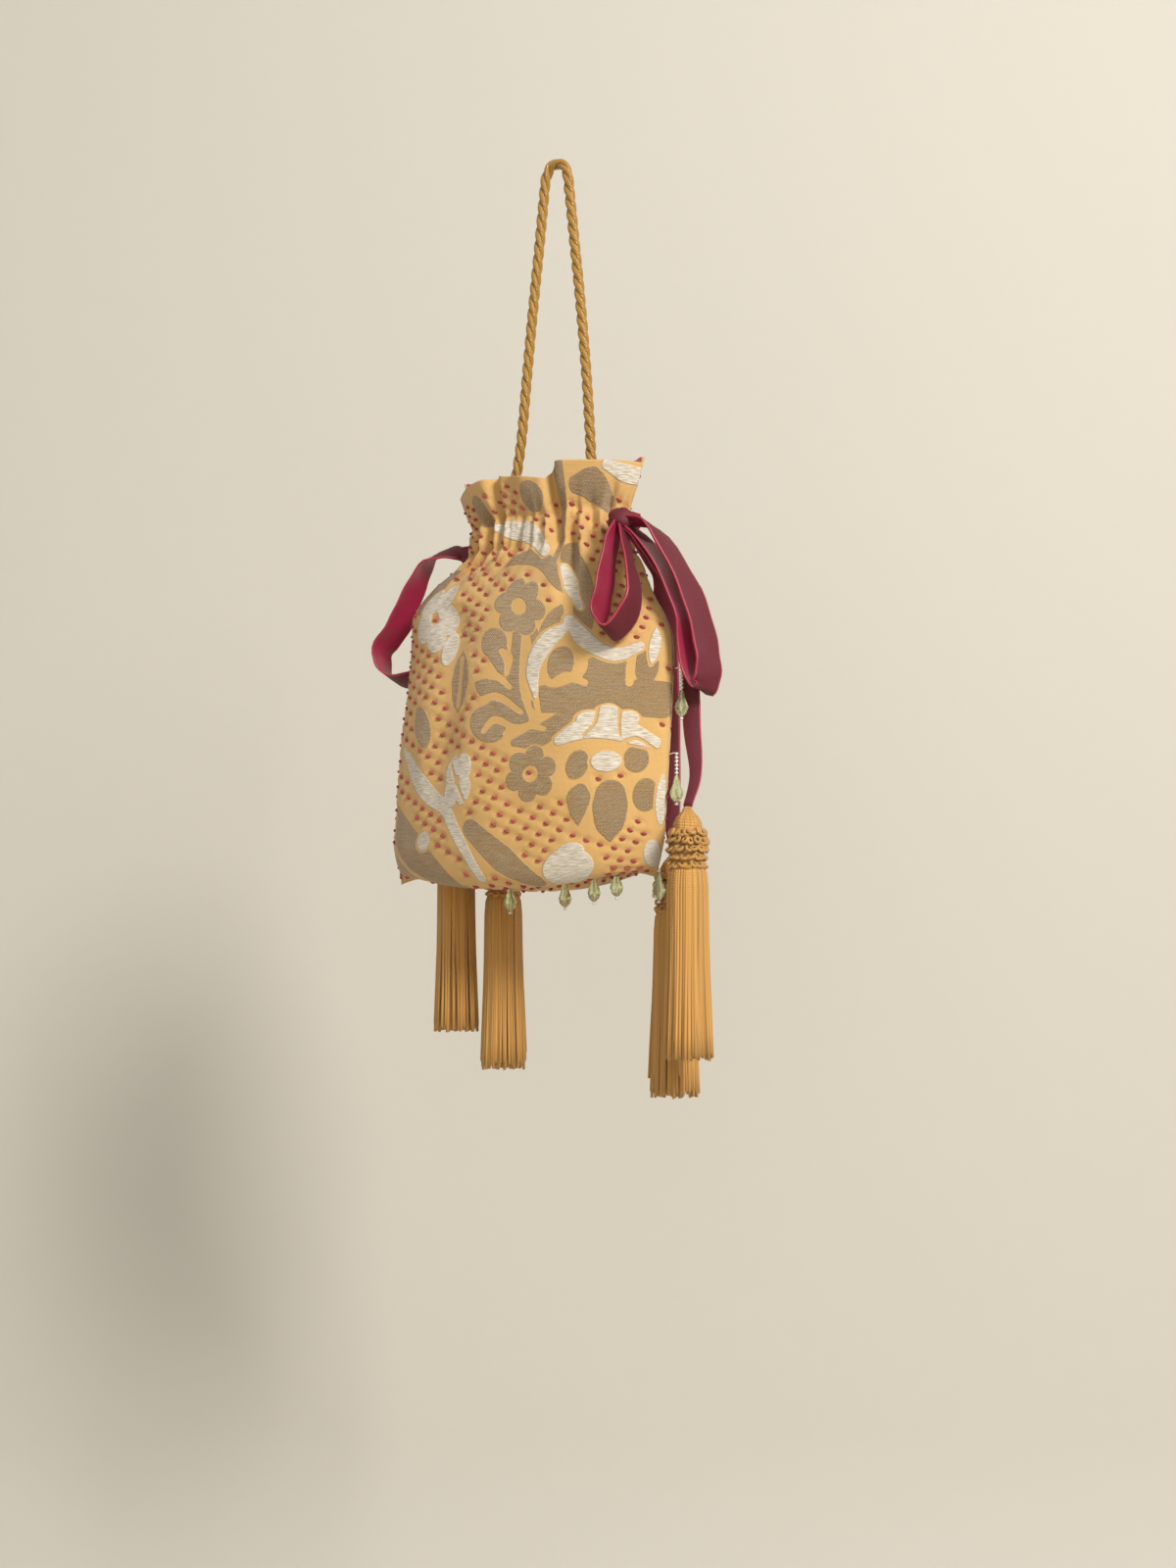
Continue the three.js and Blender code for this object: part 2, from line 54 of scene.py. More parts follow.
# Pouch sizes in millimetres, with the hook at the origin. The solids have the same sizes, apart from the
# brocade's wall, the seam gap and the corners.
HANDLE_DROP = 156.5
RUFFLE_HEIGHT = 29.0
BODY_HEIGHT = 173.0
RIM_WIDTH, RIM_DEPTH = 108.0, 50.0
NECK_WIDTH, NECK_DEPTH = 92.0, 34.0
BODY_WIDTH, BODY_DEPTH = 162.0, 64.0
NECK_SHIFT = -3.0
BODY_LEAN = -16.0
BOTTOM_SAG = 17.5
CHANNEL_Z = -HANDLE_DROP - RUFFLE_HEIGHT
CHANNEL_HALF = 7.8
BROCADE_WALL = 1.1
LINING_WALL = 0.8
LAYER_GAP = 0.4
SEAM_GAP = 0.1
RUN_HEIGHT, RUN_THICKNESS, RUN_SPLIT = 7.0, 1.6, 0.8
RUN_INSET = 1.2 + LAYER_GAP
TURN_UNDER = (0.84, 0.94)
CORNER_PRESS = 8.0
CORNER_DROP = (4.0, 4.5)  # the filled corners of the bottom hang a little below the seam's line
CORNER_ROUND = 3.0

# Outline of the pouch as position and share
RUFFLE_FLARE = ((0, 0), (0.3, 0.1), (0.6, 0.55), (1, 1))
BODY_SPREAD = (
    (0, 0), (0.05, 0.07), (0.09, 0.25), (0.13, 0.47), (0.2, 0.71), (0.265, 0.83), (0.34, 0.91), (0.5, 0.933),
    (0.66, 0.953), (0.85, 0.986), (1, 1),
)
BODY_SHIFT = (
    (0, 0), (0.05, 0.07), (0.09, 0.27), (0.13, 0.52), (0.2, 0.76), (0.265, 0.62), (0.34, 0.48), (0.5, 0.54),
    (0.66, 0.71), (0.85, 0.91), (1, 1),
)
BODY_SWELL = ((0, 0), (0.12, 0.2), (0.265, 0.55), (0.5, 0.92), (0.7, 1), (1, 1))
BOTTOM_CLOSING = ((0, 1), (0.7, 1), (0.85, 0.91), (0.92, 0.78), (0.95, 0.56), (0.975, 0.25), (1, 0))
SAG_SHARE = ((0, 0), (0.6, 0), (0.75, 0.15), (0.85, 0.5), (0.92, 0.95), (0.95, 1), (0.975, 0.5), (1, -0.45))


# Small number tools

def through(rows, x):
    """Smooth curve through rows of position and value."""
    rows = np.asarray(rows, float)
    at, value = rows[:, 0], rows[:, 1]
    last = len(at) - 1
    before = np.maximum(np.arange(last + 1) - 1, 0)
    after = np.minimum(np.arange(last + 1) + 1, last)
    slope = (value[after] - value[before]) / (at[after] - at[before])
    x = np.asarray(x, float)
    i = np.clip(np.searchsorted(at, x, side="left") - 1, 0, last - 1)
    step = at[i + 1] - at[i]
    t = (x - at[i]) / step
    rise = value[i + 1] - value[i]
    m0, m1 = slope[i] * step, slope[i + 1] * step
    return value[i] + t * (m0 + t * (3 * rise - 2 * m0 - m1 + t * (m0 + m1 - 2 * rise)))


def ease(low, high, x):
    t = np.clip((np.asarray(x, float) - low) / (high - low), 0, 1)
    return t * t * (3 - 2 * t)


def hill(x, width):
    return np.exp(-((x / width) ** 2))


def unit(vectors):
    return vectors / np.maximum(np.linalg.norm(vectors, axis=-1, keepdims=True), 1e-12)


def smooth_route(points, between):
    """Even-speed curve through points, with the same number of steps between each two."""
    points = np.asarray(points, float)
    padded = np.vstack([2 * points[0] - points[1], points, 2 * points[-1] - points[-2]])
    out = []
    for i in range(len(points) - 1):
        p0, p1, p2, p3 = padded[i:i + 4]
        d0, d1, d2 = (max(np.linalg.norm(b - a) ** 0.5, 1e-4) for a, b in ((p0, p1), (p1, p2), (p2, p3)))
        t1 = ((p1 - p0) / d0 - (p2 - p0) / (d0 + d1) + (p2 - p1) / d1) * d1
        t2 = ((p2 - p1) / d1 - (p3 - p1) / (d1 + d2) + (p3 - p2) / d2) * d1
        t = (np.arange(between) / between)[:, None]
        out.append(
            p1 + t * t1 + t ** 2 * (3 * (p2 - p1) - 2 * t1 - t2) + t ** 3 * (2 * (p1 - p2) + t1 + t2)
        )
    out.append(points[-1:])
    return np.vstack(out)


def run_of(points):
    """Length along a line of points, counted from its start."""
    steps = np.linalg.norm(np.diff(points, axis=0), axis=1)
    return np.concatenate([[0], np.cumsum(steps)])


# Pouch shape

def section(s):
    up, down = np.maximum(-s, 0), np.maximum(s, 0)
    flare = through(RUFFLE_FLARE, up)
    swell = through(BODY_SWELL, down)
    spread = through(BODY_SPREAD, down)
    width = NECK_WIDTH + (RIM_WIDTH - NECK_WIDTH) * flare + (BODY_WIDTH - NECK_WIDTH) * spread
    depth = NECK_DEPTH + (RIM_DEPTH - NECK_DEPTH) * flare + (BODY_DEPTH - NECK_DEPTH) * swell
    return width, depth * through(BOTTOM_CLOSING, down), NECK_SHIFT + BODY_LEAN * through(BODY_SHIFT, down)


def plain_cloth(s, across, side, inset, rim_lift=0.0):
    """Cloth without folds. s is -1 at the rim, 0 at the channel and 1 at the bottom seam."""
    width, depth, middle = section(s)
    angle = np.pi * across
    sine = np.maximum(np.sin(angle), 0)
    bulge = sine ** (1.22 + 0.28 * np.cos(angle))
    under = ease(*TURN_UNDER, s)
    upright = depth / 2 - inset
    turned = (depth / 2) * (1 - (inset / CORNER_PRESS) * (1 - sine))
    x = middle + (width / 2 - inset) * np.cos(angle)
    y = side * (SEAM_GAP / 2 + (upright + (turned - upright) * under) * bulge)
    sag = BOTTOM_SAG * through(SAG_SHARE, np.maximum(s, 0)) * sine ** 2
    right = np.maximum(np.cos(angle), 0) ** 1.5
    left = np.maximum(-np.cos(angle), 0) ** 1.5
    sag = sag + (CORNER_DROP[0] * left + CORNER_DROP[1] * right) * ease(0.5, 0.95, s)
    x = x - CORNER_ROUND * np.cos(angle) * ease(0.86, 1.0, s)
    body_z = CHANNEL_Z - s * (BODY_HEIGHT - inset) - sag
    z = np.where(s < 0, CHANNEL_Z - s * (RUFFLE_HEIGHT + rim_lift), body_z)
    return np.stack(np.broadcast_arrays(x, y, z), axis=-1)


# Cloth measures: girth runs from the left seam to the right one, and drop down from the channel
_ACROSS = np.linspace(0, 1, 601)
_ARC = run_of(plain_cloth(np.full(601, 0.6), _ACROSS, -1, 0.0))
HALF_GIRTH = _ARC[-1] / 2
_DOWN = np.linspace(0, 1, 601)
_FALL = run_of(plain_cloth(_DOWN, np.full(601, 0.5), -1, 0.0))
FULL_DROP = _FALL[-1]


def girth_of(across):
    return HALF_GIRTH - np.interp(across, _ACROSS, _ARC)


def across_of(girth):
    return np.interp(HALF_GIRTH - girth, _ARC, _ACROSS)


def height_of(drop):
    return np.where(drop < 0, drop / RUFFLE_HEIGHT, np.interp(drop, _FALL, _DOWN))


# Folds of each panel: girth at the top and at the foot, drop of both, half width of both, and depth.
FOLDS = {
    -1: (
        (-30, -36, -33, 16, 5.0, 5, 6.6),
        (-54, -52, -40, -8, 15, 10, -3.6),
        (-4, -2, -40, -8, 11, 9, -3.4),
        (48, 46, -40, -8, 18, 12, -3.4),
        (19, 24, -34, 22, 5.0, 4, 8.6),
        (28, 27, -13, 30, 3.4, 5, 4.6),
        (37, 42, -2, 66, 4.2, 8, 7.0),
        (56, 58, -8, 36, 4.0, 6, 4.6),
        (70, 70, -20, 24, 3.4, 4, 3.0),
        (-10, -18, -9, 34, 4.0, 6, 4.4),
        (-48, -50, -12, 46, 4.8, 8, 5.6),
        (-66, -60, -8, 40, 4.0, 6, 3.6),
        (-35, -38, 40, 178, 12, 15, 4.6),
        (-64, -58, 112, 180, 9, 10, 1.6),
    ),
    1: (
        (-52, -50, -31, 32, 4.0, 7, 4.6),
        (-33, -30, -20, 22, 3.4, 5, 3.4),
        (-12, -15, -31, 46, 4.0, 8, 5.0),
        (10, 8, -31, 26, 3.4, 6, 4.2),
        (32, 36, -31, 40, 4.0, 8, 4.8),
        (54, 52, -14, 26, 3.6, 6, 3.2),
        (-25, -22, 60, 180, 14, 18, 2.4),
        (30, 34, 70, 178, 14, 16, 2.0),
    ),
}
RIM_LIFTS = {
    -1: (
        (-120, -5), (-75, -6.5), (-45, -3.5), (-25, -2.3), (8, -6.2), (15, -6.8), (22, 0.5),
        (45, 0.3), (120, 0),
    ),
    1: ((-120, 0), (-70, 5.0), (-20, 2.0), (30, 6.5), (70, 5.5), (120, 0)),
}


def fold_depth(girth, drop, side):
    """How far the cloth stands out (above 0) or is drawn in (below 0) by its folds and gathers."""
    out = np.zeros(np.broadcast(girth, drop).shape)
    for top, foot, first, last, wide, wider, depth in FOLDS[side]:
        t = np.clip((drop - first) / (last - first), 0, 1)
        line = top + (foot - top) * t
        spread = wide + (wider - wide) * t
        strength = ease(first - 5, first + 5, drop) * (1 - ease(0.35, 1.0, (drop - first) / (last - first)))
        out -= depth * strength * (hill(girth - line, spread) - 0.3 * hill(girth - line, 2.4 * spread))
    gather = np.sin(girth / 2.3 + 1.2 * np.sin(girth / 6.3 + side)) + 0.35 * np.sin(girth / 0.95 + 2 * side)
    out += 0.95 * gather * hill(drop - 1, 15)
    out -= 0.8 * (hill(drop + CHANNEL_HALF, 2.0) + hill(drop - CHANNEL_HALF, 2.4))
    out += 1.0 * hill(drop, 6.5)
    lobes = np.sin(girth / 9.5 + 0.9 * side) + 0.5 * np.sin(girth / 5.3 + 2.0)
    out += 0.9 * lobes * ease(4, 26, -drop)
    slow = np.sin(girth / 13 + drop / 37 + side) * np.sin(drop / 19 - girth / 41)
    quick = np.sin(girth / 6.1 - drop / 14) * np.sin(drop / 7.7 + girth / 23 + 1.3)
    out += (0.9 * slow + 0.35 * quick) * ease(8, 45, drop)
    out *= ease(0, 11, HALF_GIRTH - np.abs(girth))
    groove = hill(HALF_GIRTH - np.abs(girth), 1.6)
    return out * (1 - ease(0.86, 0.97, height_of(drop))) - 0.7 * groove


def cloth(girth, drop, side, inset):
    """Point of a cloth layer with its folds, in millimetres."""
    across, s = across_of(girth), height_of(drop)
    lift = np.interp(girth, *np.array(RIM_LIFTS[side]).T)
    base = plain_cloth(s, across, side, inset, lift)
    width, depth, _ = section(s)
    angle = np.pi * across
    slope = side * np.sin(angle) / np.maximum(depth, 8)
    normal = np.stack(np.broadcast_arrays(np.cos(angle) / width, slope), -1)
    base[..., :2] += unit(normal) * fold_depth(girth, drop, side)[..., None]
    return base


def cloth_frame(girth, drop, side, inset=0.0):
    """Place, outward normal, and the directions along the girth and down the drop."""
    girth, drop = np.broadcast_arrays(np.asarray(girth, float), np.asarray(drop, float))
    step = 0.4
    place = cloth(girth, drop, side, inset)
    along_girth = unit(cloth(girth + step, drop, side, inset) - cloth(girth - step, drop, side, inset))
    down = unit(cloth(girth, drop + step, side, inset) - cloth(girth, drop - step, side, inset))
    normal = unit(np.cross(down, along_girth)) * (1 if side < 0 else -1)
    return place, normal, along_girth, down


# Woven motifs: each shape gives the distance to its outline, below 0 inside

def spot(g, d, at, size, turn=0.0):
    c, s = math.cos(math.radians(turn)), math.sin(math.radians(turn))
    x, y = g - at[0], d - at[1]
    reach = np.hypot((x * c + y * s) / size[0], (y * c - x * s) / size[1])
    return (reach - 1) * min(size)


def rosette(g, d, at, radius, eye, petals=6, turn=0.0, squeeze=1.0):
    x, y = (g - at[0]) / squeeze, d - at[1]
    r = np.hypot(x, y)
    lobe = np.abs(np.cos(petals / 2 * (np.arctan2(y, x) - math.radians(turn)))) ** 0.55
    return np.maximum(r - radius * (0.66 + 0.34 * lobe), eye - r)


def stroke(g, d, points, widths):
    """A line through points whose half width changes along it."""
    route = smooth_route(points, 5)
    half = np.interp(np.linspace(0, 1, len(route)), np.linspace(0, 1, len(widths)), widths)
    best = np.full(np.broadcast(g, d).shape, 1e9)
    for (x0, y0), (x1, y1), h0, h1 in zip(route[:-1], route[1:], half[:-1], half[1:]):
        length = (x1 - x0) ** 2 + (y1 - y0) ** 2 + 1e-9
        t = np.clip(((g - x0) * (x1 - x0) + (d - y0) * (y1 - y0)) / length, 0, 1)
        away = np.hypot(g - x0 - t * (x1 - x0), d - y0 - t * (y1 - y0))
        best = np.minimum(best, away - h0 - t * (h1 - h0))
    return best


def leaf(g, d, tip, foot, width, bow=0.0):
    (x0, y0), (x1, y1) = tip, foot
    middle = ((x0 + x1) / 2 + bow * (y0 - y1) / 20, (y0 + y1) / 2 + bow * (x1 - x0) / 20)
    return stroke(g, d, (tip, middle, foot), (0.3, 0.8 * width, width, 0.8 * width, 0.3))


def joined(shapes):
    best = shapes[0]
    for shape in shapes[1:]:
        best = np.minimum(best, shape)
    return best


OUTLINE = 1.1  # gold line left between two woven colours


def front_motifs(g, d):
    """Distances to the bronze and the silver weaving of the front."""
    silver = joined([
        stroke(g, d, ((33, 57), (22, 65), (16, 77), (19, 92)), (2.2, 4.6, 4.8, 3.6, 1.0)),
        stroke(g, d, ((36, 54), (41, 62), (50, 69), (60, 72), (71, 68)), (3.4, 4.6, 3.6, 3.4, 2.4)),
        leaf(g, d, (81, 58), (77, 77), 3.2),
        stroke(g, d, ((34, 114), (45, 109), (58, 108), (70, 111), (82, 115)), (2.6, 5.0, 5.6, 5.0, 3.0)),
        spot(g, d, (48, 104), (6, 4)), spot(g, d, (57, 102), (6.4, 5)), spot(g, d, (67, 104), (6, 4)),
        spot(g, d, (58, 124.5), (7.6, 5.2)),
        spot(g, d, (39, 180), (13.5, 11)), spot(g, d, (41, 171), (7, 5)),
        stroke(g, d, ((-70, 112), (-58, 126), (-44, 138), (-32, 145), (-24, 158), (-10, 182)),
               (2.0, 4.6, 5.0, 4.2, 3.6, 3.4, 2.4)),
        rosette(g, d, (-24, 131), 15, 2.6, petals=4, turn=40, squeeze=0.72),
        spot(g, d, (-48, 163), (4.6, 6), 30),
        rosette(g, d, (-52, 44), 19, 3.5, petals=5, turn=10, squeeze=0.9),
        spot(g, d, (-40, 62), (5, 9), 20),
        spot(g, d, (84, 184), (5, 13), -10), spot(g, d, (87, 146), (3.5, 15)),
        stroke(g, d, ((62, -27), (78, -23), (92, -22)), (2.4, 4.4, 4.0)),
        stroke(g, d, ((-40, -3), (-20, 0), (0, 3), (18, 14)), (2.0, 5.0, 5.6, 3.0)),
        stroke(g, d, ((34, 24), (40, 34), (43, 46)), (2.0, 4.4, 2.0)),
        spot(g, d, (-12, 206), (14, 7)),
    ])
    bronze = joined([
        stroke(g, d, ((6, 58), (5, 76), (7, 90), (14, 103)), (2.6, 3.0, 3.6, 3.0)),
        spot(g, d, (-8, 62), (8, 7.6), 20), stroke(g, d, ((-6, 66), (0, 76), (5, 84)), (6.0, 4.4, 1.6)),
        leaf(g, d, (-18, 82), (7, 93), 5.6), spot(g, d, (-7, 104), (12, 8.4), 30),
        stroke(g, d, ((-10, 98), (2, 98), (12, 102)), (4.0, 6.0, 3.0)),
        leaf(g, d, (34, 45), (16, 72), 5.4), leaf(g, d, (17, 53), (13, 74), 3.2),
        stroke(g, d, ((10, 114), (22, 112), (40, 102)), (2.0, 5.6, 5.0)),
        spot(g, d, (31, 76), (7, 9)), spot(g, d, (54, 80), (13, 8)), spot(g, d, (75, 77), (6, 10)),
        stroke(g, d, ((24, 93), (52, 93), (84, 94)), (7.0, 8.6, 9.0)),
        spot(g, d, (44, 126), (5.4, 7.4), 20),
        stroke(g, d, ((46, 139), (45, 145), (45, 157)), (3.6, 6.2, 4.6, 0.4)),
        spot(g, d, (73, 123), (6.4, 6.8)), spot(g, d, (78.5, 142), (6.6, 9.4)),
        stroke(g, d, ((61, 141), (61, 151), (61, 168)), (7.4, 8.8, 7.6, 0.5)),
        stroke(g, d, ((-14, 156), (4, 172), (22, 186)), (5.0, 7.0, 4.0)),
        leaf(g, d, (-74, 140), (-20, 190), 12.0, bow=3), leaf(g, d, (-86, 168), (-52, 206), 9.0),
        leaf(g, d, (-30, 64), (-30, 96), 7.0), leaf(g, d, (-60, 90), (-50, 112), 6.0),
        stroke(g, d, ((-12, 18), (4, 16), (20, 20), (36, 34)), (2.4, 4.4, 4.6, 4.0)),
        stroke(g, d, ((38, 16), (46, 36), (42, 60)), (7.0, 8.4, 4.0)),
        stroke(g, d, ((40, -18), (54, -18), (68, -10)), (4.0, 8.0, 5.0)),
        spot(g, d, (4, -18), (10, 9)), spot(g, d, (-68, 28), (10, 12)), spot(g, d, (-52, -14), (8, 9)),
        stroke(g, d, ((26, 22), (30, -6), (26, -28)), (2.0, 4.0, 6.0)),
    ])
    veins = joined([
        stroke(g, d, ((-3, 67), (1, 71), (1, 79)), (0.6, 1.9, 0.3)),
        stroke(g, d, ((-16, 78), (-6, 79), (4, 86)), (0.5, 0.9, 0.2)),
        stroke(g, d, ((-16, 92), (-4, 90), (12, 99)), (0.5, 1.0, 0.3)),
        stroke(g, d, ((-9, 107), (-4, 102), (8, 106)), (0.5, 1.1, 0.3)),
        stroke(g, d, ((4, 109), (16, 106), (26, 108)), (0.3, 0.6, 0.2)),
        stroke(g, d, ((12, 60), (15, 76), (22, 100)), (0.5, 0.8, 0.4)),
        stroke(g, d, ((22, 70), (24, 84), (30, 86), (38, 84)), (0.6, 0.6, 0.6)),
        stroke(g, d, ((-72, 140), (-50, 158), (-24, 186)), (0.6, 1.0, 0.6)),
        stroke(g, d, ((-84, 164), (-64, 184), (-46, 204)), (0.6, 0.9, 0.6)),
        stroke(g, d, ((40, 84), (43, 78), (42, 70)), (1.0, 1.4, 1.0)),
        stroke(g, d, ((67, 86), (67, 78), (68, 70)), (1.0, 1.4, 1.0)),
        stroke(g, d, ((28, 85), (34, 82), (45, 86)), (0.6, 1.0, 0.6)),
        stroke(g, d, ((-30, 68), (-30, 92)), (0.6, 0.8)),
    ])
    scallops = joined([
        stroke(g, d, ((46, 112), (51, 106), (52, 98)), (0.2, 0.3, 0.5)),
        stroke(g, d, ((64, 112), (63, 106), (63, 98)), (0.2, 0.3, 0.5)),
        stroke(g, d, ((36, 118), (50, 114), (60, 117), (72, 113), (82, 118)), (0.3, 0.4, 0.4, 0.3)),
        stroke(g, d, ((-30, 122), (-24, 132), (-18, 142)), (0.2, 0.4, 0.2)),
    ])
    upper = rosette(g, d, (9, 44), 16.0, 4.8, turn=15)
    lower = rosette(g, d, (20, 130), 14.0, 4.2, turn=40)
    bronze = np.maximum(bronze, OUTLINE - np.minimum(veins, np.minimum(upper, lower)))
    bronze = joined([bronze, upper, lower])
    bronze = np.maximum(bronze, OUTLINE - silver)
    return bronze, np.maximum(silver, 0.5 - scallops)


def back_motifs(g, d):
    """A plain repeat of the same flowers, leaves and bands."""
    silver = joined([
        rosette(g, d, (-36, 54), 18, 3.4, petals=5), rosette(g, d, (38, 150), 17, 3.2, petals=5, turn=20),
        stroke(g, d, ((-80, 96), (-50, 112), (-20, 104), (10, 112)), (2.4, 5.0, 4.4, 2.0)),
        stroke(g, d, ((14, 64), (40, 78), (76, 66)), (2.4, 5.0, 2.4)),
        spot(g, d, (-50, 176), (13, 9)), stroke(g, d, ((-60, -22), (-30, -24), (0, -20)), (2.0, 4.4, 2.4)),
    ])
    bronze = joined([
        rosette(g, d, (34, 46), 14, 4.4), rosette(g, d, (-38, 142), 14, 4.4, turn=20),
        stroke(g, d, ((-70, 26), (-10, 30), (24, 24)), (3.0, 5.0, 3.0)),
        leaf(g, d, (-70, 60), (-56, 92), 6.5), leaf(g, d, (-12, 58), (-2, 92), 6.5),
        leaf(g, d, (6, 70), (0, 98), 5),
        stroke(g, d, ((16, 92), (46, 96), (82, 90)), (5.0, 8.0, 5.0)),
        leaf(g, d, (8, 128), (10, 168), 8.0), leaf(g, d, (72, 118), (62, 150), 7.0),
        stroke(g, d, ((-80, 150), (-60, 160), (-14, 176)), (4.0, 6.0, 3.0)),
        spot(g, d, (40, -16), (14, 8)), spot(g, d, (-70, -10), (9, 8)), leaf(g, d, (20, 190), (70, 184), 8.0),
    ])
    return np.maximum(bronze, OUTLINE - silver), silver


MOTIFS = {-1: front_motifs, 1: back_motifs}

# Quilting stitches stand on a slanted net, and only on the gold ground
NET = np.array(((7.0, -3.9), (3.5, 5.1)))
NET_START = np.array((1.2, 0.6))
STITCH_CLEAR = 2.7
DIMPLE_DEPTH, DIMPLE_REACH = 0.75, 1.9


def net_places(corners):
    return corners @ NET.T + NET_START


def stitched(places, side):
    """True where a stitch is sewn at a place of the net."""
    g, d = places[..., 0], places[..., 1]
    bronze, silver = MOTIFS[side](g, d)
    inside = (np.abs(g) < HALF_GIRTH - 3) & (d > -24) & (d < FULL_DROP - 12)
    return inside & (np.minimum(bronze, silver) > STITCH_CLEAR)


def quilting(girth, drop, side):
    """Height of the quilted surface: drawn in at each stitch and along its row."""
    here = np.stack(np.broadcast_arrays(girth, drop), -1)
    corner = np.round((here - NET_START) @ np.linalg.inv(NET).T)
    place = net_places(corner)
    away = here - place
    row = unit(NET[:, 0])
    off_row = away @ np.array((-row[1], row[0]))
    sewn = stitched(place, side)
    dimple = DIMPLE_DEPTH * hill(np.linalg.norm(away, axis=-1), DIMPLE_REACH) + 0.42 * hill(off_row, 1.4)
    return -dimple * sewn


# Mesh tools

def place_mesh(name, points, faces, materials, uv=None, kinds=None, marks=None, smooth=True):
    """A mesh object from points in millimetres. uv and marks are given per point, kinds per face."""
    mesh = bpy.data.meshes.new(name)
    mesh.from_pydata((np.asarray(points) * 0.001).tolist(), [], [list(f) for f in faces])
    for material in materials:
        mesh.materials.append(material)
    if kinds is not None:
        mesh.polygons.foreach_set("material_index", np.asarray(kinds, np.int32))
    if uv is not None:
        corner = np.empty(len(mesh.loops), np.int32)
        mesh.loops.foreach_get("vertex_index", corner)
        layer = mesh.uv_layers.new(name="cloth")
        layer.data.foreach_set("uv", np.asarray(uv, np.float32)[corner].ravel())
    for mark, values in (marks or {}).items():
        attribute = mesh.attributes.new(mark, "FLOAT", "POINT")
        attribute.data.foreach_set("value", np.asarray(values, np.float32))
    mesh.polygons.foreach_set("use_smooth", np.full(len(mesh.polygons), smooth))
    mesh.update()
    piece = bpy.data.objects.new(name, mesh)
    bpy.context.scene.collection.objects.link(piece)
    return piece


def grid_faces(rows, columns, start=0, ring=False):
    """Quads between rows of points. In a ring the last column joins the first."""
    i = np.arange(rows - 1)[:, None]
    j = np.arange(columns if ring else columns - 1)[None, :]
    k = (j + 1) % columns
    near, far = i * columns, (i + 1) * columns
    corners = np.broadcast_arrays(near + j, near + k, far + k, far + j)
    return np.stack(corners, -1).reshape(-1, 4) + start


def end_faces(rows, columns):
    """Quads that close the first and the last ring of points."""
    quads = [[k, k + 1, columns - 2 - k, columns - 1 - k] for k in range(columns // 2 - 1)]
    quads = np.array(quads).reshape(-1, 4)
    return np.vstack([quads[:, ::-1], quads + (rows - 1) * columns])


def outward(points, faces):
    """The same faces, turned so that a closed shape faces out."""
    p = np.asarray(points)
    f = np.asarray(faces)
    cross = np.cross(p[f[:, 1]] - p[f[:, 0]], p[f[:, 2]] - p[f[:, 0]])
    cross2 = np.cross(p[f[:, 2]] - p[f[:, 0]], p[f[:, 3]] - p[f[:, 0]])
    volume = (p[f[:, 0]] * (cross + cross2)).sum()
    return f if volume > 0 else f[:, ::-1]


def cloth_sheet(name, side, insets, walls, rows, columns, materials, detail=None, marks=None):
    """A closed sheet of cloth: girth and drop grids, an outer and an inner face."""
    girth = np.linspace(-HALF_GIRTH, HALF_GIRTH, columns)
    drop = np.concatenate([np.linspace(-RUFFLE_HEIGHT, 0, rows // 7)[:-1],
                           np.linspace(0, FULL_DROP, rows - rows // 7 + 1)])
    g, d = np.meshgrid(girth, drop)
    inset = insets(height_of(d))
    normal = cloth_frame(g, d, side)[1]
    outer = cloth(g, d, side, inset)
    if detail is not None:
        outer = outer + normal * detail(g, d, side)[..., None]
    inner = cloth(g, d, side, inset + walls)
    shape = (len(drop), columns)
    points = np.vstack([outer.reshape(-1, 3), inner.reshape(-1, 3)])
    layer = shape[0] * shape[1]
    faces = [grid_faces(*shape), grid_faces(*shape, start=layer)[:, ::-1]]
    index = np.arange(layer).reshape(shape)
    border = np.concatenate([index[0, :-1], index[:-1, -1], index[-1, :0:-1], index[:0:-1, 0]])
    after = np.roll(border, -1)
    faces.append(np.stack([after, border, border + layer, after + layer], -1))
    faces = outward(points, np.vstack(faces))
    uv = np.tile(np.stack([g.ravel(), d.ravel()], -1) / 100, (2, 1))
    values = {k: np.tile(v.ravel(), 2) for k, v in (marks(g, d) if marks else {}).items()}
    return place_mesh(name, points, faces, materials, uv=uv, marks=values)


def tube_points(routes, radii, sides, wide=None):
    """Round tubes along many routes of the same length: an array of routes, steps, sides and xyz."""
    routes = np.asarray(routes, float)
    forward = unit(np.gradient(routes, axis=1))
    guide = np.zeros_like(forward)
    guide[..., 0] = 1.0
    if wide is not None:
        guide[:] = wide
    first = unit(guide - forward * (guide * forward).sum(-1, keepdims=True))
    second = np.cross(forward, first)
    turn = 2 * np.pi * np.arange(sides) / sides
    ring = first[..., None, :] * np.cos(turn)[:, None] + second[..., None, :] * np.sin(turn)[:, None]
    return routes[..., None, :] + ring * np.asarray(radii)[..., None, None]


def tube_faces(count, steps, sides):
    """Faces of many tubes, with both ends closed by a fan of quads."""
    one = np.vstack([grid_faces(steps, sides, ring=True), end_faces(steps, sides)])
    return (one[None] + (np.arange(count) * steps * sides)[:, None, None]).reshape(-1, 4)


def tube_uv(points, girth, along):
    """Cloth coordinates of tubes: a girth around each one, and the place along it."""
    sides = points.shape[2]
    around = np.broadcast_to(np.arange(sides) / sides * girth, points.shape[:3])
    along = np.broadcast_to(along[None, :, None], points.shape[:3])
    return np.stack([around, along], -1).reshape(-1, 2)


def finish(piece, body, slot, *nodes):
    """Puts a piece on its body in place of its solids."""
    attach(piece, body)
    if nodes:
        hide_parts(*nodes)
    return piece


# Materials

def tinted(colour, share):
    return tuple(share * c for c in colour)


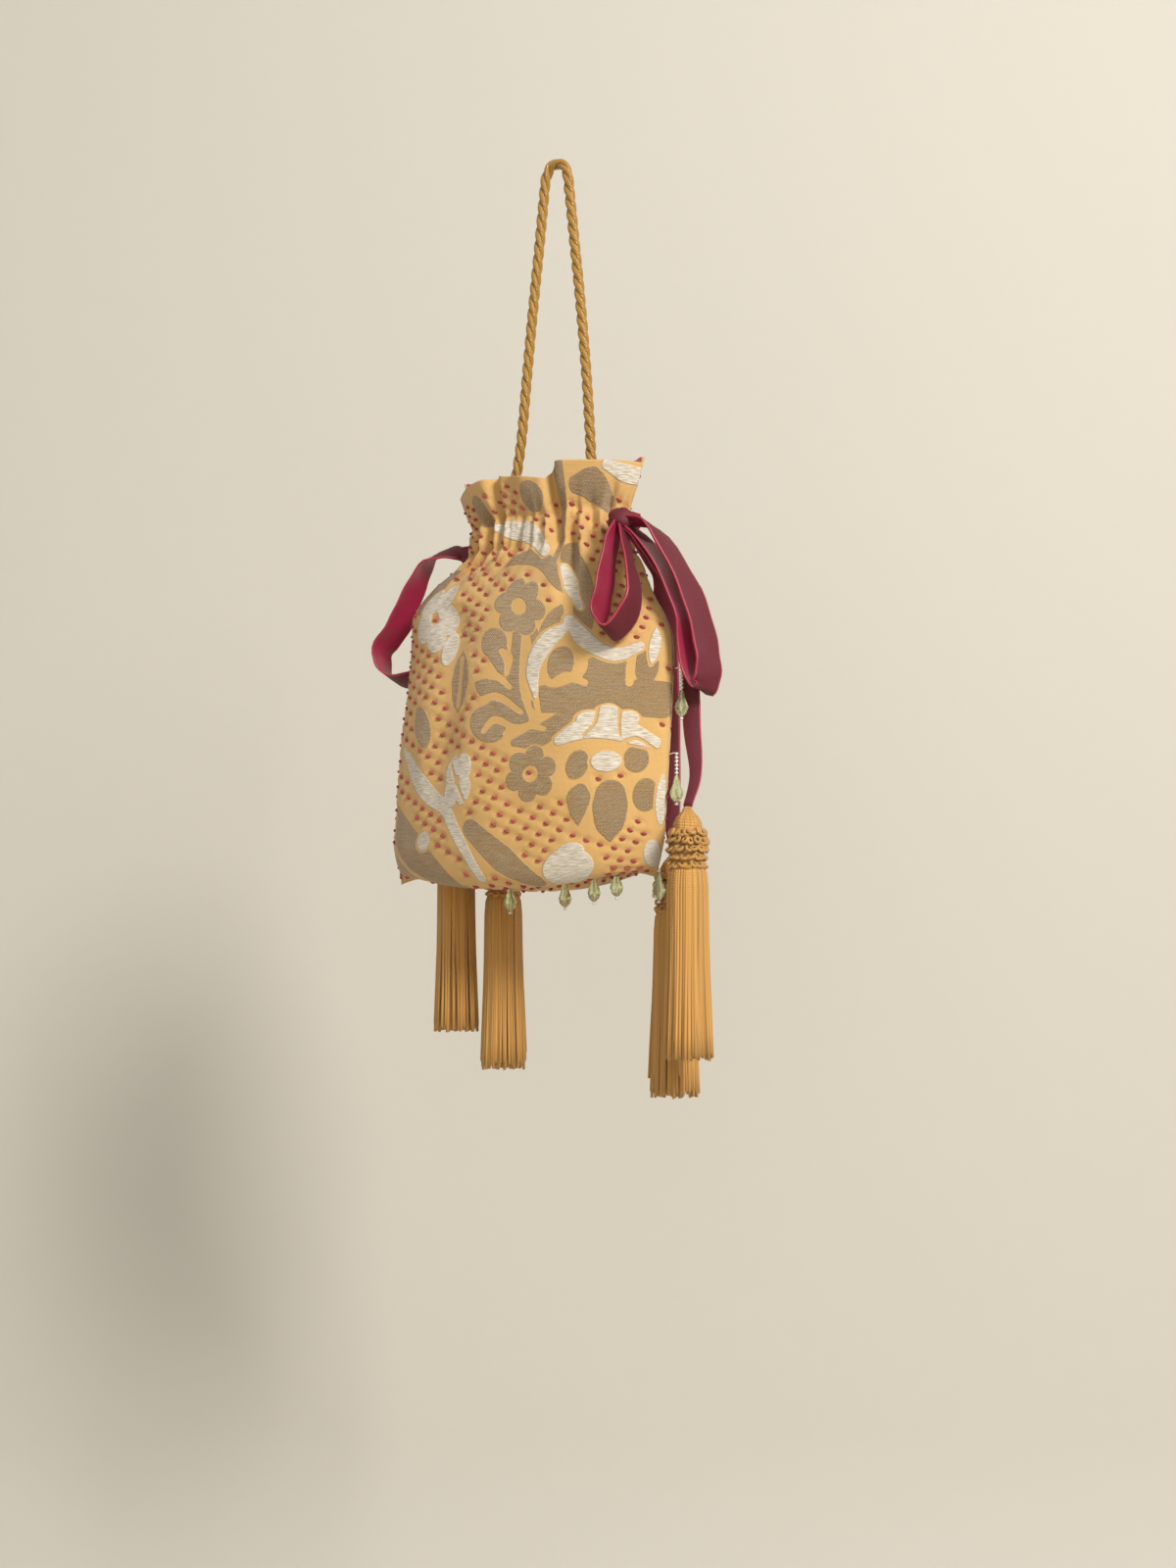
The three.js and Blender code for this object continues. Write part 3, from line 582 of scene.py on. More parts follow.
def new_material(name, colour, roughness, **sockets):
    material = bpy.data.materials.new(name)
    material.use_nodes = True
    shader = material.node_tree.nodes["Principled BSDF"]
    shader.inputs["Base Color"].default_value = (*colour, 1)
    shader.inputs["Roughness"].default_value = roughness
    for socket, value in sockets.items():
        shader.inputs[socket.replace("_", " ")].default_value = value
    return material, material.node_tree, shader


def add(tree, kind, **settings):
    node = tree.nodes.new(kind)
    for key, value in settings.items():
        setattr(node, key, value)
    return node


def wire(tree, source, target):
    tree.links.new(source, target)


def maths(tree, operation, first, second=0.0):
    node = add(tree, "ShaderNodeMath", operation=operation)
    for socket, value in zip(node.inputs, (first, second)):
        if hasattr(value, "is_linked"):
            wire(tree, value, socket)
        else:
            socket.default_value = value
    return node.outputs[0]


def mixed(tree, factor, first, second):
    node = add(tree, "ShaderNodeMix", data_type="RGBA")
    sockets = (node.inputs["Factor"], node.inputs[6], node.inputs[7])
    for socket, value in zip(sockets, (factor, first, second)):
        if hasattr(value, "is_linked"):
            wire(tree, value, socket)
        else:
            socket.default_value = value if isinstance(value, float) else (*value, 1)
    return node.outputs[2]


def noise(tree, vector, scale, detail=3.0, stretch=(1, 1, 1), turn=0.0):
    mapping = add(tree, "ShaderNodeMapping")
    mapping.inputs["Scale"].default_value = stretch
    mapping.inputs["Rotation"].default_value = (0, 0, turn)
    wire(tree, vector, mapping.inputs["Vector"])
    node = add(tree, "ShaderNodeTexNoise")
    node.inputs["Scale"].default_value = scale
    node.inputs["Detail"].default_value = detail
    wire(tree, mapping.outputs[0], node.inputs["Vector"])
    return node.outputs["Fac"]


def new_group(name, vector, amount, *outputs):
    """An empty node group that takes a vector and an amount, with its two ends."""
    group = bpy.data.node_groups.new(name, "ShaderNodeTree")
    group.interface.new_socket(vector, in_out="INPUT", socket_type="NodeSocketVector")
    group.interface.new_socket(amount, in_out="INPUT", socket_type="NodeSocketFloat")
    for output in outputs:
        group.interface.new_socket(output, in_out="OUTPUT", socket_type="NodeSocketFloat")
    return group, add(group, "NodeGroupInput"), add(group, "NodeGroupOutput")


def weave_group():
    """Crossing threads: a height, and a soft change of tone from thread to thread."""
    made = bpy.data.node_groups.get("crossing threads")
    if made:
        return made
    group, source, target = new_group("crossing threads", "Cloth", "Threads", "Height", "Tone")
    heights = []
    for axis in ("X", "Y"):
        wave = add(group, "ShaderNodeTexWave", bands_direction=axis, wave_profile="SIN")
        wire(group, source.outputs["Cloth"], wave.inputs["Vector"])
        wire(group, source.outputs["Threads"], wave.inputs["Scale"])
        wave.inputs["Distortion"].default_value = 0.6
        wave.inputs["Detail"].default_value = 1.0
        heights.append(wave.outputs["Fac"])
    wire(group, maths(group, "MULTIPLY", *heights), target.inputs["Height"])
    tone = noise(group, source.outputs["Cloth"], 60.0, 4.0, (1, 6, 1))
    wire(group, tone, target.inputs["Tone"])
    return group


def twist_group():
    """Slanted plies of a twisted thread, as a height."""
    made = bpy.data.node_groups.get("twisted plies")
    if made:
        return made
    group, source, target = new_group("twisted plies", "Cord", "Plies", "Height")
    wave = add(group, "ShaderNodeTexWave", bands_direction="DIAGONAL")
    wire(group, source.outputs["Cord"], wave.inputs["Vector"])
    wire(group, source.outputs["Plies"], wave.inputs["Scale"])
    wave.inputs["Distortion"].default_value = 0.4
    wire(group, wave.outputs["Fac"], target.inputs["Height"])
    return group


def placed_group(tree, group, vector, amount):
    node = add(tree, "ShaderNodeGroup", node_tree=group)
    wire(tree, vector, node.inputs[0])
    node.inputs[1].default_value = amount
    return node


def bump(tree, shader, height, strength, distance):
    node = add(tree, "ShaderNodeBump")
    node.inputs["Strength"].default_value = strength
    node.inputs["Distance"].default_value = distance
    wire(tree, height, node.inputs["Height"])
    wire(tree, node.outputs[0], shader.inputs["Normal"])


def uv_of(tree):
    return add(tree, "ShaderNodeUVMap", uv_map="cloth").outputs["UV"]


def mark_of(tree, name):
    return add(tree, "ShaderNodeAttribute", attribute_name=name).outputs["Fac"]


def inside_of(tree, name, soft=0.35):
    """1 inside a motif and 0 outside, with a narrow woven edge."""
    node = add(tree, "ShaderNodeMapRange", interpolation_type="SMOOTHSTEP")
    wire(tree, mark_of(tree, name), node.inputs["Value"])
    for socket, value in zip(("From Min", "From Max", "To Min", "To Max"), (-soft, soft, 1.0, 0.0)):
        node.inputs[socket].default_value = value
    return node.outputs[0]


def brocade_material(colours, weave):
    material, tree, shader = new_material(
        "brocade", colours.ground, 0.5, Sheen_Weight=0.25, Sheen_Roughness=0.4)
    uv = uv_of(tree)
    threads = placed_group(tree, weave, uv, 55.0)
    slow = noise(tree, uv, 7.0, 3.0)
    shade = tinted(colours.ground, 0.86)
    ground = mixed(tree, threads.outputs["Tone"], shade, tuple(colours.ground))
    ground = mixed(tree, maths(tree, "MULTIPLY", slow, 0.35), ground, (0.62, 0.36, 0.11))
    # Painted glint: the bronze is lightened towards pale gold where its twill lines meet bright streaks,
    # standing in for highlights on its metal threads.
    glint_streaks = noise(tree, uv, 14.0, 4.0, (1, 7, 1))
    twill = add(tree, "ShaderNodeTexWave", bands_direction="DIAGONAL")
    twill.inputs["Scale"].default_value = 44.0
    twill.inputs["Distortion"].default_value = 1.6
    twill.inputs["Detail"].default_value = 2.0
    twill.inputs["Detail Scale"].default_value = 3.0
    wire(tree, uv, twill.inputs["Vector"])
    lustre = maths(tree, "MULTIPLY", noise(tree, uv, 2.6, 2.0), 0.55)
    bright = maths(tree, "SUBTRACT", maths(tree, "ADD", glint_streaks, lustre), 0.56)
    bright = maths(tree, "MULTIPLY", bright, 3.4)
    glint = maths(tree, "MULTIPLY", twill.outputs["Fac"], bright)
    bronze = mixed(tree, glint, tinted(colours.bronze, 0.86), (0.66, 0.49, 0.29))
    # Painted shade: the silver is darkened in the hollows between its ribs and keeps its full colour on their
    # crests.
    ribs = noise(tree, uv, 20.0, 4.0, (1, 8, 1))
    silver = mixed(tree, maths(tree, "MULTIPLY", maths(tree, "SUBTRACT", ribs, 0.38), 4.5),
                   (0.58, 0.485, 0.355), tuple(colours.silver))
    in_bronze, in_silver = inside_of(tree, "bronze"), inside_of(tree, "silver")
    colour = mixed(tree, in_silver, mixed(tree, in_bronze, ground, bronze), silver)
    wire(tree, colour, shader.inputs["Base Color"])
    polish = maths(tree, "MULTIPLY", in_bronze, 0.16)
    wire(tree, maths(tree, "SUBTRACT", 0.56, polish), shader.inputs["Roughness"])
    wire(tree, maths(tree, "MULTIPLY", in_bronze, 0.18), shader.inputs["Metallic"])
    raised = maths(tree, "MULTIPLY", maths(tree, "ADD", in_bronze, in_silver), 0.35)
    ribbed = maths(tree, "MULTIPLY", in_silver, ribs)
    rough = maths(tree, "ADD", ribbed, maths(tree, "MULTIPLY", in_bronze, glint))
    weave_height = maths(tree, "MULTIPLY", threads.outputs["Height"], 0.3)
    height = maths(tree, "ADD", maths(tree, "ADD", raised, rough), weave_height)
    bump(tree, shader, height, 0.9, 0.0008)
    return material


def plain_cloth_material(name, colour, roughness, weave, threads, depth, sheen):
    material, tree, shader = new_material(name, colour, roughness, Sheen_Weight=sheen, Sheen_Roughness=0.35)
    shader.inputs["Sheen Tint"].default_value = (*[min(1, 0.3 + 1.6 * c) for c in colour], 1)
    uv = uv_of(tree)
    group = placed_group(tree, weave, uv, threads)
    dark, light = tinted(colour, 0.72), tinted(colour, 1.18)
    wire(tree, mixed(tree, group.outputs["Tone"], dark, light), shader.inputs["Base Color"])
    bump(tree, shader, group.outputs["Height"], 0.5, depth)
    return material


def thread_material(name, colour, roughness, twist, plies, depth):
    material, tree, shader = new_material(name, colour, roughness, Sheen_Weight=0.2)
    uv = uv_of(tree)
    group = placed_group(tree, twist, uv, plies)
    # The thread's tone is partly its own random tone per thread (the tone mark) and partly painted light and
    # shade: the plies' crests are lighter and the grooves between them darker.
    tone = maths(tree, "ADD", maths(tree, "MULTIPLY", mark_of(tree, "tone"), 0.75),
                 maths(tree, "MULTIPLY", group.outputs["Height"], 0.25))
    wire(tree, mixed(tree, tone, tinted(colour, 0.62), tinted(colour, 1.2)),
         shader.inputs["Base Color"])
    bump(tree, shader, group.outputs["Height"], 0.6, depth)
    return material


# Settings that a user would change

def colour_setting(name, description, default):
    return bpy.props.FloatVectorProperty(
        name=name, description=description, default=default, subtype="COLOR", min=0, max=1)


class PotliClothSettings(bpy.types.PropertyGroup):
    """Weave and colours of the pouch."""
    rows: bpy.props.IntProperty(
        name="Rows", description="Rows of the brocade mesh", default=226, min=60, max=320)
    columns: bpy.props.IntProperty(
        name="Columns", description="Columns of the brocade mesh", default=190, min=60, max=300)
    ground: colour_setting("Ground", "Gold satin ground", (0.80, 0.47, 0.155))
    bronze: colour_setting("Bronze", "Bronze weaving", (0.43, 0.25, 0.092))
    silver: colour_setting("Silver", "Silver weaving", (0.86, 0.775, 0.64))
    stitch: colour_setting("Stitch", "Quilting thread", (0.44, 0.045, 0.05))
    lining: colour_setting("Lining", "Lining satin", (0.42, 0.05, 0.12))


class PotliTrimSettings(bpy.types.PropertyGroup):
    """Rope, ribbons, tassels and beads."""
    rope_diameter: bpy.props.FloatProperty(
        name="Rope", description="Diameter of the handle rope in mm", default=5.5, min=3, max=9)
    rope_lay: bpy.props.FloatProperty(
        name="Lay", description="Length of one turn of the rope's strands in mm", default=20.5, min=8, max=40)
    tassel_threads: bpy.props.IntProperty(
        name="Threads", description="Threads in the skirt of a tassel", default=150, min=40, max=240)
    rope: colour_setting("Rope colour", "Ochre rope", (0.40, 0.205, 0.024))
    velvet: colour_setting("Velvet", "Velvet face", (0.115, 0.0032, 0.013))
    satin: colour_setting("Satin", "Satin back", (0.30, 0.013, 0.05))
    thread: colour_setting("Thread", "Tassel thread", (0.57, 0.285, 0.055))
    crystal: colour_setting("Crystal", "Cut glass", (0.80, 0.84, 0.52))


class PotliStageSettings(bpy.types.PropertyGroup):
    """Camera and studio."""
    lens: bpy.props.FloatProperty(name="Lens", description="Focal length", default=45, min=20, max=120)
    yaw: bpy.props.FloatProperty(
        name="Yaw", description="Turn of the camera to the right of the front", default=math.radians(30),
        subtype="ANGLE")
    distance: bpy.props.FloatProperty(
        name="Distance", description="Camera to hook, level", default=1.0, unit="LENGTH", min=0.3, max=5)
    wall: colour_setting("Wall", "Pale wall", (0.60, 0.562, 0.485))


# Camera in metres from the hook, and its upward shift
CAMERA_SIDE, CAMERA_HEIGHT, CAMERA_SHIFT = 0.016, -0.4135, 0.125


class POTLI_OT_stage(bpy.types.Operator):
    """Camera, lamps, wall and floor"""
    bl_idname = "potli.stage"
    bl_label = "Studio"

    def execute(self, context):
        settings = context.scene.potli_stage
        yaw = settings.yaw
        right = Vector((math.cos(yaw), math.sin(yaw), 0))
        near = Vector((math.sin(yaw), -math.cos(yaw), 0))
        up = Vector((0, 0, 1))
        camera = bpy.data.cameras.new("photo camera")
        camera.lens = settings.lens
        camera.sensor_width = 36
        camera.shift_y = CAMERA_SHIFT
        holder = bpy.data.objects.new("photo camera", camera)
        holder.location = near * settings.distance + right * CAMERA_SIDE + up * CAMERA_HEIGHT
        holder.rotation_euler = (math.radians(90), 0, yaw)
        context.scene.collection.objects.link(holder)
        context.scene.camera = holder
        aim = Vector((0, 0, -0.28))
        for name, place, size, power in (
            ("key lamp", right * 1.22 + near * 1.84 + up * 1.2, 0.75, 64),
            ("front lamp", right * -0.3 + near * 1.9 + up * 0.3, 1.4, 6),
            ("rear lamp", right * 0.9 + near * -1.3 + up * 0.8, 0.9, 10),
        ):
            lamp = bpy.data.lights.new(name, "AREA")
            lamp.shape = "DISK"
            lamp.size = size
            lamp.energy = power
            lamp.color = (1.0, 0.985, 0.96)
            thing = bpy.data.objects.new(name, lamp)
            thing.location = aim + place
            thing.rotation_euler = (-place).to_track_quat("-Z", "Y").to_euler()
            context.scene.collection.objects.link(thing)
        world = bpy.data.worlds.new("studio air")
        context.scene.world = world
        world.use_nodes = True
        tree = world.node_tree
        light = tree.nodes["Background"]
        light.inputs["Color"].default_value = (0.95, 0.945, 0.93, 1)
        light.inputs["Strength"].default_value = 0.4
        seen = add(tree, "ShaderNodeBackground")
        seen.inputs["Color"].default_value = (0.74, 0.69, 0.585, 1)
        rays = add(tree, "ShaderNodeLightPath")
        direct = maths(tree, "MAXIMUM", rays.outputs["Is Camera Ray"], rays.outputs["Is Glossy Ray"])
        direct = maths(tree, "MAXIMUM", direct, rays.outputs["Is Transmission Ray"])
        choice = add(tree, "ShaderNodeMixShader")
        wire(tree, direct, choice.inputs[0])
        wire(tree, light.outputs[0], choice.inputs[1])
        wire(tree, seen.outputs[0], choice.inputs[2])
        wire(tree, choice.outputs[0], tree.nodes["World Output"].inputs["Surface"])
        self.backdrop(context, settings.wall, right, near)
        context.scene.view_settings.view_transform = "Standard"
        return {"FINISHED"}

    def backdrop(self, context, colour, right, near):
        """A wall behind that only shows its front, swept round into a floor."""
        far, floor, radius = 0.46, -1.0, 0.25
        outline = [(3.0, floor)]
        for k in range(13):
            turn = math.radians(90 * k / 12)
            across, up = radius - radius * math.sin(turn), radius - radius * math.cos(turn)
            outline.append((across - far, floor + up))
        outline.append((-far, 2.2))
        points, faces = [], []
        for depth, z in outline:
            for x in (-3.0, 3.0):
                points.append(np.array(near * depth + right * x) * 1000 + np.array((0, 0, z * 1000)))
        for k in range(len(outline) - 1):
            faces.append((2 * k, 2 * k + 1, 2 * k + 3, 2 * k + 2))
        material, tree, shader = new_material("pale wall", colour, 0.9)
        shade = noise(tree, add(tree, "ShaderNodeTexCoord").outputs["Object"], 1.3, 1.0)
        wire(tree, mixed(tree, shade, tinted(colour, 0.97), tinted(colour, 1.03)),
             shader.inputs["Base Color"])
        clear = add(tree, "ShaderNodeBsdfTransparent")
        choice = add(tree, "ShaderNodeMixShader")
        wire(tree, add(tree, "ShaderNodeNewGeometry").outputs["Backfacing"], choice.inputs[0])
        wire(tree, shader.outputs[0], choice.inputs[1])
        wire(tree, clear.outputs[0], choice.inputs[2])
        wire(tree, choice.outputs[0], tree.nodes["Material Output"].inputs["Surface"])
        place_mesh("backdrop", points, faces, [material])


# Handle rope, from the inside of the left seam over the hook to the inside of the right seam
ROPE_ROUTE = (
    (-46.5, 0, -210), (-43, 0, -200), (-37, 0, -188), (-30.5, 0, -172), (-25, 0, -156), (-21.4, 0, -137),
    (-18.8, 0, -113), (-16.2, 0, -88), (-13.4, 0, -63), (-10.4, 0, -38), (-7.6, 0, -13), (-6.3, 0, -3.5),
    (-3.6, 0, 1.6), (0, 0, 2.75),
    (3.6, 0, 1.6), (6.3, 0, -3.5), (7.6, 0, -13), (10.4, 0, -38), (13.3, 0, -63), (15.8, 0, -88),
    (18, 0, -113),
    (19.6, 0, -137), (21, 0, -156), (25.5, 0, -172), (31, 0, -188), (36.5, 0, -200), (39.5, 0, -210),
)
STRANDS, STRAND_SHARE, STRAND_SWELL = 3, 0.245, 1.04


class POTLI_OT_handle_rope(bpy.types.Operator):
    """Three-strand twisted rope"""
    bl_idname = "potli.handle_rope"
    bl_label = "Rope handle"

    def execute(self, context):
        settings = context.scene.potli_trim
        route = smooth_route(ROPE_ROUTE, 24)
        length = run_of(route)
        even = np.linspace(0, length[-1], 520)
        route = np.stack([np.interp(even, length, route[:, k]) for k in range(3)], -1)
        forward = unit(np.gradient(route, axis=0))
        side = np.tile((0.0, 1.0, 0.0), (len(route), 1))
        other = np.cross(forward, side)
        strand_radius = settings.rope_diameter * STRAND_SHARE
        offset = settings.rope_diameter / 2 - strand_radius
        routes = []
        for k in range(STRANDS):
            turn = -2 * np.pi * (even / settings.rope_lay + k / STRANDS)
            routes.append(route + offset * (np.cos(turn)[:, None] * side + np.sin(turn)[:, None] * other))
        sides = 10
        radii = np.full((STRANDS, len(route)), strand_radius * STRAND_SWELL)
        points = tube_points(routes, radii, sides, (0, 1, 0))
        faces = tube_faces(STRANDS, len(route), sides)
        uv = tube_uv(points, 0.14, even / 100)
        points = points.reshape(-1, 3)
        twist = twist_group()
        material = thread_material("rope satin", tuple(settings.rope), 0.3, twist, 34.0, 0.0004)
        rope = place_mesh("handle_rope_strands", points, outward(points, faces), [material], uv=uv,
                          marks={"tone": np.full(len(points), 0.62)})
        finish(rope, "pouch", "rope", "handle_rope")
        return {"FINISHED"}


# Ribbons: each row is a place, the direction of the ribbon's width there, and its width
UPRIGHT = (0, 0, 1)
LOOP_WIDE = (0, -0.92, 0.37)
OPEN_WIDE = (-0.36, -0.86, 0.35)
BACK_WIDE = (0.94, 0.3, 0.1)
TAIL_WIDE = (0.35, 0.94, 0)
SEAM_WIDE = (0.98, 0.2, 0)
FULL = 16.0
KNOT_LEAD = 7.0  # width of a loop or a tail inside its knot
KNOTS = {"right": (45.5, -15, -187), "left": (-58, 12, -192)}
EXITS = {
    "right": ((50, -4, -186, UPRIGHT, 7), (49.5, -10, -187, UPRIGHT, 9)),
    "left": ((-58.5, 1.5, -189.5, UPRIGHT, 7), (-60.5, 6.5, -190, UPRIGHT, 8)),
}
LOOPS = {
    "right": (
        ((44, -21, -198, LOOP_WIDE, 12), (42.6, -27, -222, LOOP_WIDE, FULL),
         (41, -28.5, -238, LOOP_WIDE, FULL), (47.5, -28, -245, LOOP_WIDE, FULL),
         (57.6, -23, -230, LOOP_WIDE, FULL), (51.5, -18, -203, LOOP_WIDE, 12)),
        ((59.5, -12, -190, OPEN_WIDE, 13), (77.5, -5, -219, OPEN_WIDE, FULL), (85, 0, -247, OPEN_WIDE, FULL),
         (86, 1, -264, OPEN_WIDE, FULL), (82, 1, -271, OPEN_WIDE, FULL), (77, 0, -259, OPEN_WIDE, FULL),
         (75.2, -2, -236, OPEN_WIDE, FULL), (62, -9, -206, OPEN_WIDE, 12)),
    ),
    "left": (
        ((-65, 5, -187, (0, 0.8, 0.6), 12), (-78, 1, -190, (0, 0.9, 0.4), FULL),
         (-88, -1, -206, (0.2, 0.95, 0.2), FULL), (-98, -1, -224, (0.2, 0.95, -0.2), FULL),
         (-110, 0, -238, (0, 0.95, -0.3), FULL), (-107, 3, -250, (0, 0.95, -0.3), FULL),
         (-96, 10, -252, (0.2, 0.95, -0.2), FULL), (-84, 23, -238, (0.3, 0.9, 0), FULL),
         (-68, 22, -208, (0.3, 0.9, 0), 12)),
        ((-52, 20, -203, BACK_WIDE, 12), (-44, 31, -224, BACK_WIDE, FULL), (-42, 42, -252, BACK_WIDE, FULL),
         (-46, 46, -259, BACK_WIDE, FULL), (-50, 43, -250, BACK_WIDE, FULL), (-54, 30, -222, BACK_WIDE, FULL),
         (-57, 19, -204, BACK_WIDE, 12)),
    ),
}
TASSEL_TOPS = {
    "right_front": (78, -6, -329), "right_rear": (56, 22, -349),
    "left_outer": (-83, 32, -318), "left_inner": (-57, 39, -338),
}
TAILS = {
    "right": {
        "right_front": (
            (55, -10, -197, TAIL_WIDE, 10), (62, 0, -211, TAIL_WIDE, 10), (69.5, 7.5, -228, SEAM_WIDE, 9),
            (72, 7.5, -255, SEAM_WIDE, 9), (73.5, 7.5, -288, SEAM_WIDE, 9),
            (78.5, 1.5, -313, SEAM_WIDE, 6)),
        "right_rear": (
            (53, -2, -199, TAIL_WIDE, 11), (56, 12, -212, BACK_WIDE, 12), (49, 23, -240, BACK_WIDE, FULL),
            (47.5, 28, -285, BACK_WIDE, FULL), (52, 26, -325, BACK_WIDE, 10)),
    },
    "left": {
        "left_outer": (
            (-67, 21, -212, BACK_WIDE, 11), (-78, 26, -242, BACK_WIDE, 13), (-83, 30, -275, BACK_WIDE, 12),
            (-83, 31, -302, BACK_WIDE, 8)),
        "left_inner": (
            (-60, 26, -212, BACK_WIDE, 11), (-62, 36, -248, BACK_WIDE, 13), (-60, 41, -290, BACK_WIDE, 12),
            (-57.5, 40, -322, BACK_WIDE, 8)),
    },
}
KNOT_RADIUS, KNOT_WIDE, KNOT_TALL = 5.4, 1.3, 1.05
RIBBON_THICKNESS, NECK_THICKNESS = 1.0, 1.4
TAIL_END_WIDTH, TAIL_END_GAP = 4.4, 0.2
STRIPES = np.array((-1.0, -0.9, -0.45, 0.0, 0.45, 0.9, 1.0))


class POTLI_OT_ribbons(bpy.types.Operator):
    """Velvet drawstring ribbons, each tied in a bow"""
    bl_idname = "potli.ribbons"
    bl_label = "Drawstring ribbons"

    def execute(self, context):
        settings = context.scene.potli_trim
        weave = weave_group()
        velvet = plain_cloth_material("velvet", tuple(settings.velvet), 0.65, weave, 30.0, 0.0003, 0.16)
        satin = plain_cloth_material("ribbon satin", tuple(settings.satin), 0.36, weave, 40.0, 0.0001, 0.2)
        edge = plain_cloth_material("selvedge", (0.36, 0.02, 0.05), 0.4, weave, 40.0, 0.0001, 0.3)
        for hand in ("right", "left"):
            self.ribbon(hand, (velvet, satin, edge))
        return {"FINISHED"}

    def band(self, rows, thickness, facing, steps=6):
        """Points of a ribbon: velvet on the side of facing, satin on the other."""
        centre = smooth_route([r[:3] for r in rows], steps)
        wide = smooth_route([r[3] for r in rows], steps)
        width = through([(k, r[4]) for k, r in enumerate(rows)], np.linspace(0, len(rows) - 1, len(centre)))
        forward = unit(np.gradient(centre, axis=0))
        wide = unit(wide - forward * (wide * forward).sum(-1, keepdims=True))
        out = np.cross(forward, wide)
        middle = centre.mean(axis=0)
        towards = (out * (centre - middle if facing is None else np.asarray(facing, float))).sum()
        out = out * (1 if towards > 0 else -1)
        ripple = 0.35 * np.sin(np.arange(len(centre)) * 1.3)[:, None]
        cup = (STRIPES ** 2 * (-0.9) + 0.3)[None, :] + ripple * STRIPES[None, :]
        cup = cup * (width / FULL)[:, None]
        flat = centre[:, None] + wide[:, None] * (STRIPES[None, :, None] * width[:, None, None] / 2)
        front = flat + out[:, None] * (cup + thickness / 2)[..., None]
        back = flat + out[:, None] * (cup - thickness / 2)[..., None]
        loop = np.concatenate([front, back[:, ::-1]], axis=1)
        return self.skin(loop, centre)

    def skin(self, loop, centre):
        """Closes rows of points around a band into a solid."""
        n = loop.shape[1]
        faces = grid_faces(len(centre), n, ring=True)
        per_row = np.array([2, 0, 0, 0, 0, 2, 2, 2, 1, 1, 1, 1, 2, 2])
        kinds = np.tile(per_row, len(centre) - 1)
        caps = end_faces(len(centre), n)
        faces = np.vstack([faces, caps])
        kinds = np.concatenate([kinds, np.zeros(len(caps), int)])
        points = loop.reshape(-1, 3)
        run = run_of(centre)
        uv = np.stack([np.broadcast_to(np.concatenate([STRIPES, STRIPES[::-1]]) * 0.08, loop.shape[:2]),
                       np.broadcast_to(run[:, None] / 100, loop.shape[:2])], -1).reshape(-1, 2)
        turned = outward(points, faces)
        return points, turned, kinds, uv, centre

    def run(self, hand):
        """The scrunched ribbon around the inside of the channel, which follows the folds of the cloth."""
        sign = 1 if hand == "right" else -1
        middle = sign * (RUN_HEIGHT + RUN_SPLIT) / 2
        turn = np.linspace(0.012, 1.988, 200)
        if sign < 0:
            turn = (turn + 1) % 2
        girth = girth_of(np.where(turn < 1, turn, 2 - turn))[:, None]
        drop = -middle + 0.375 * RUN_HEIGHT * STRIPES[None, :]
        layers = []
        for inset in (RUN_INSET + 0.1, RUN_INSET + 0.7 * RUN_THICKNESS):
            front, back = (cloth(girth, drop, side, inset) for side in (-1, 1))
            layers.append(np.where((turn < 1)[:, None, None], front, back))
        face, reverse = layers
        loop = np.concatenate([face, reverse[:, ::-1]], axis=1)
        return self.skin(loop, (face[:, 3] + reverse[:, 3]) / 2)

    def knot(self, centre):
        """A ribbon wrapped once round the bow: a lumpy, creased ball."""
        rows, columns = 12, 20
        polar = np.linspace(0.12, np.pi - 0.12, rows)[:, None]
        round_ = 2 * np.pi * np.arange(columns)[None, :] / columns
        lumps = 0.07 * np.sin(3 * round_ + 4 * np.cos(polar))
        radius = KNOT_RADIUS * (1 + lumps - 0.1 * hill(np.cos(polar) - 0.2, 0.12))
        ball = np.stack(np.broadcast_arrays(
            KNOT_WIDE * radius * np.sin(polar) * np.cos(round_), radius * np.sin(polar) * np.sin(round_),
            KNOT_TALL * radius * np.cos(polar)), -1)
        points = ball.reshape(-1, 3) + np.array(centre)
        faces = np.vstack([grid_faces(rows, columns, ring=True), end_faces(rows, columns)])
        faces = outward(points, faces)
        uv = np.stack([ball[..., 0], ball[..., 2]], -1).reshape(-1, 2) / 100
        return points, faces, np.zeros(len(faces), int), uv

    def ribbon(self, hand, materials):
        knot = KNOTS[hand]

        def lead(wide):
            return (*knot, wide, KNOT_LEAD)

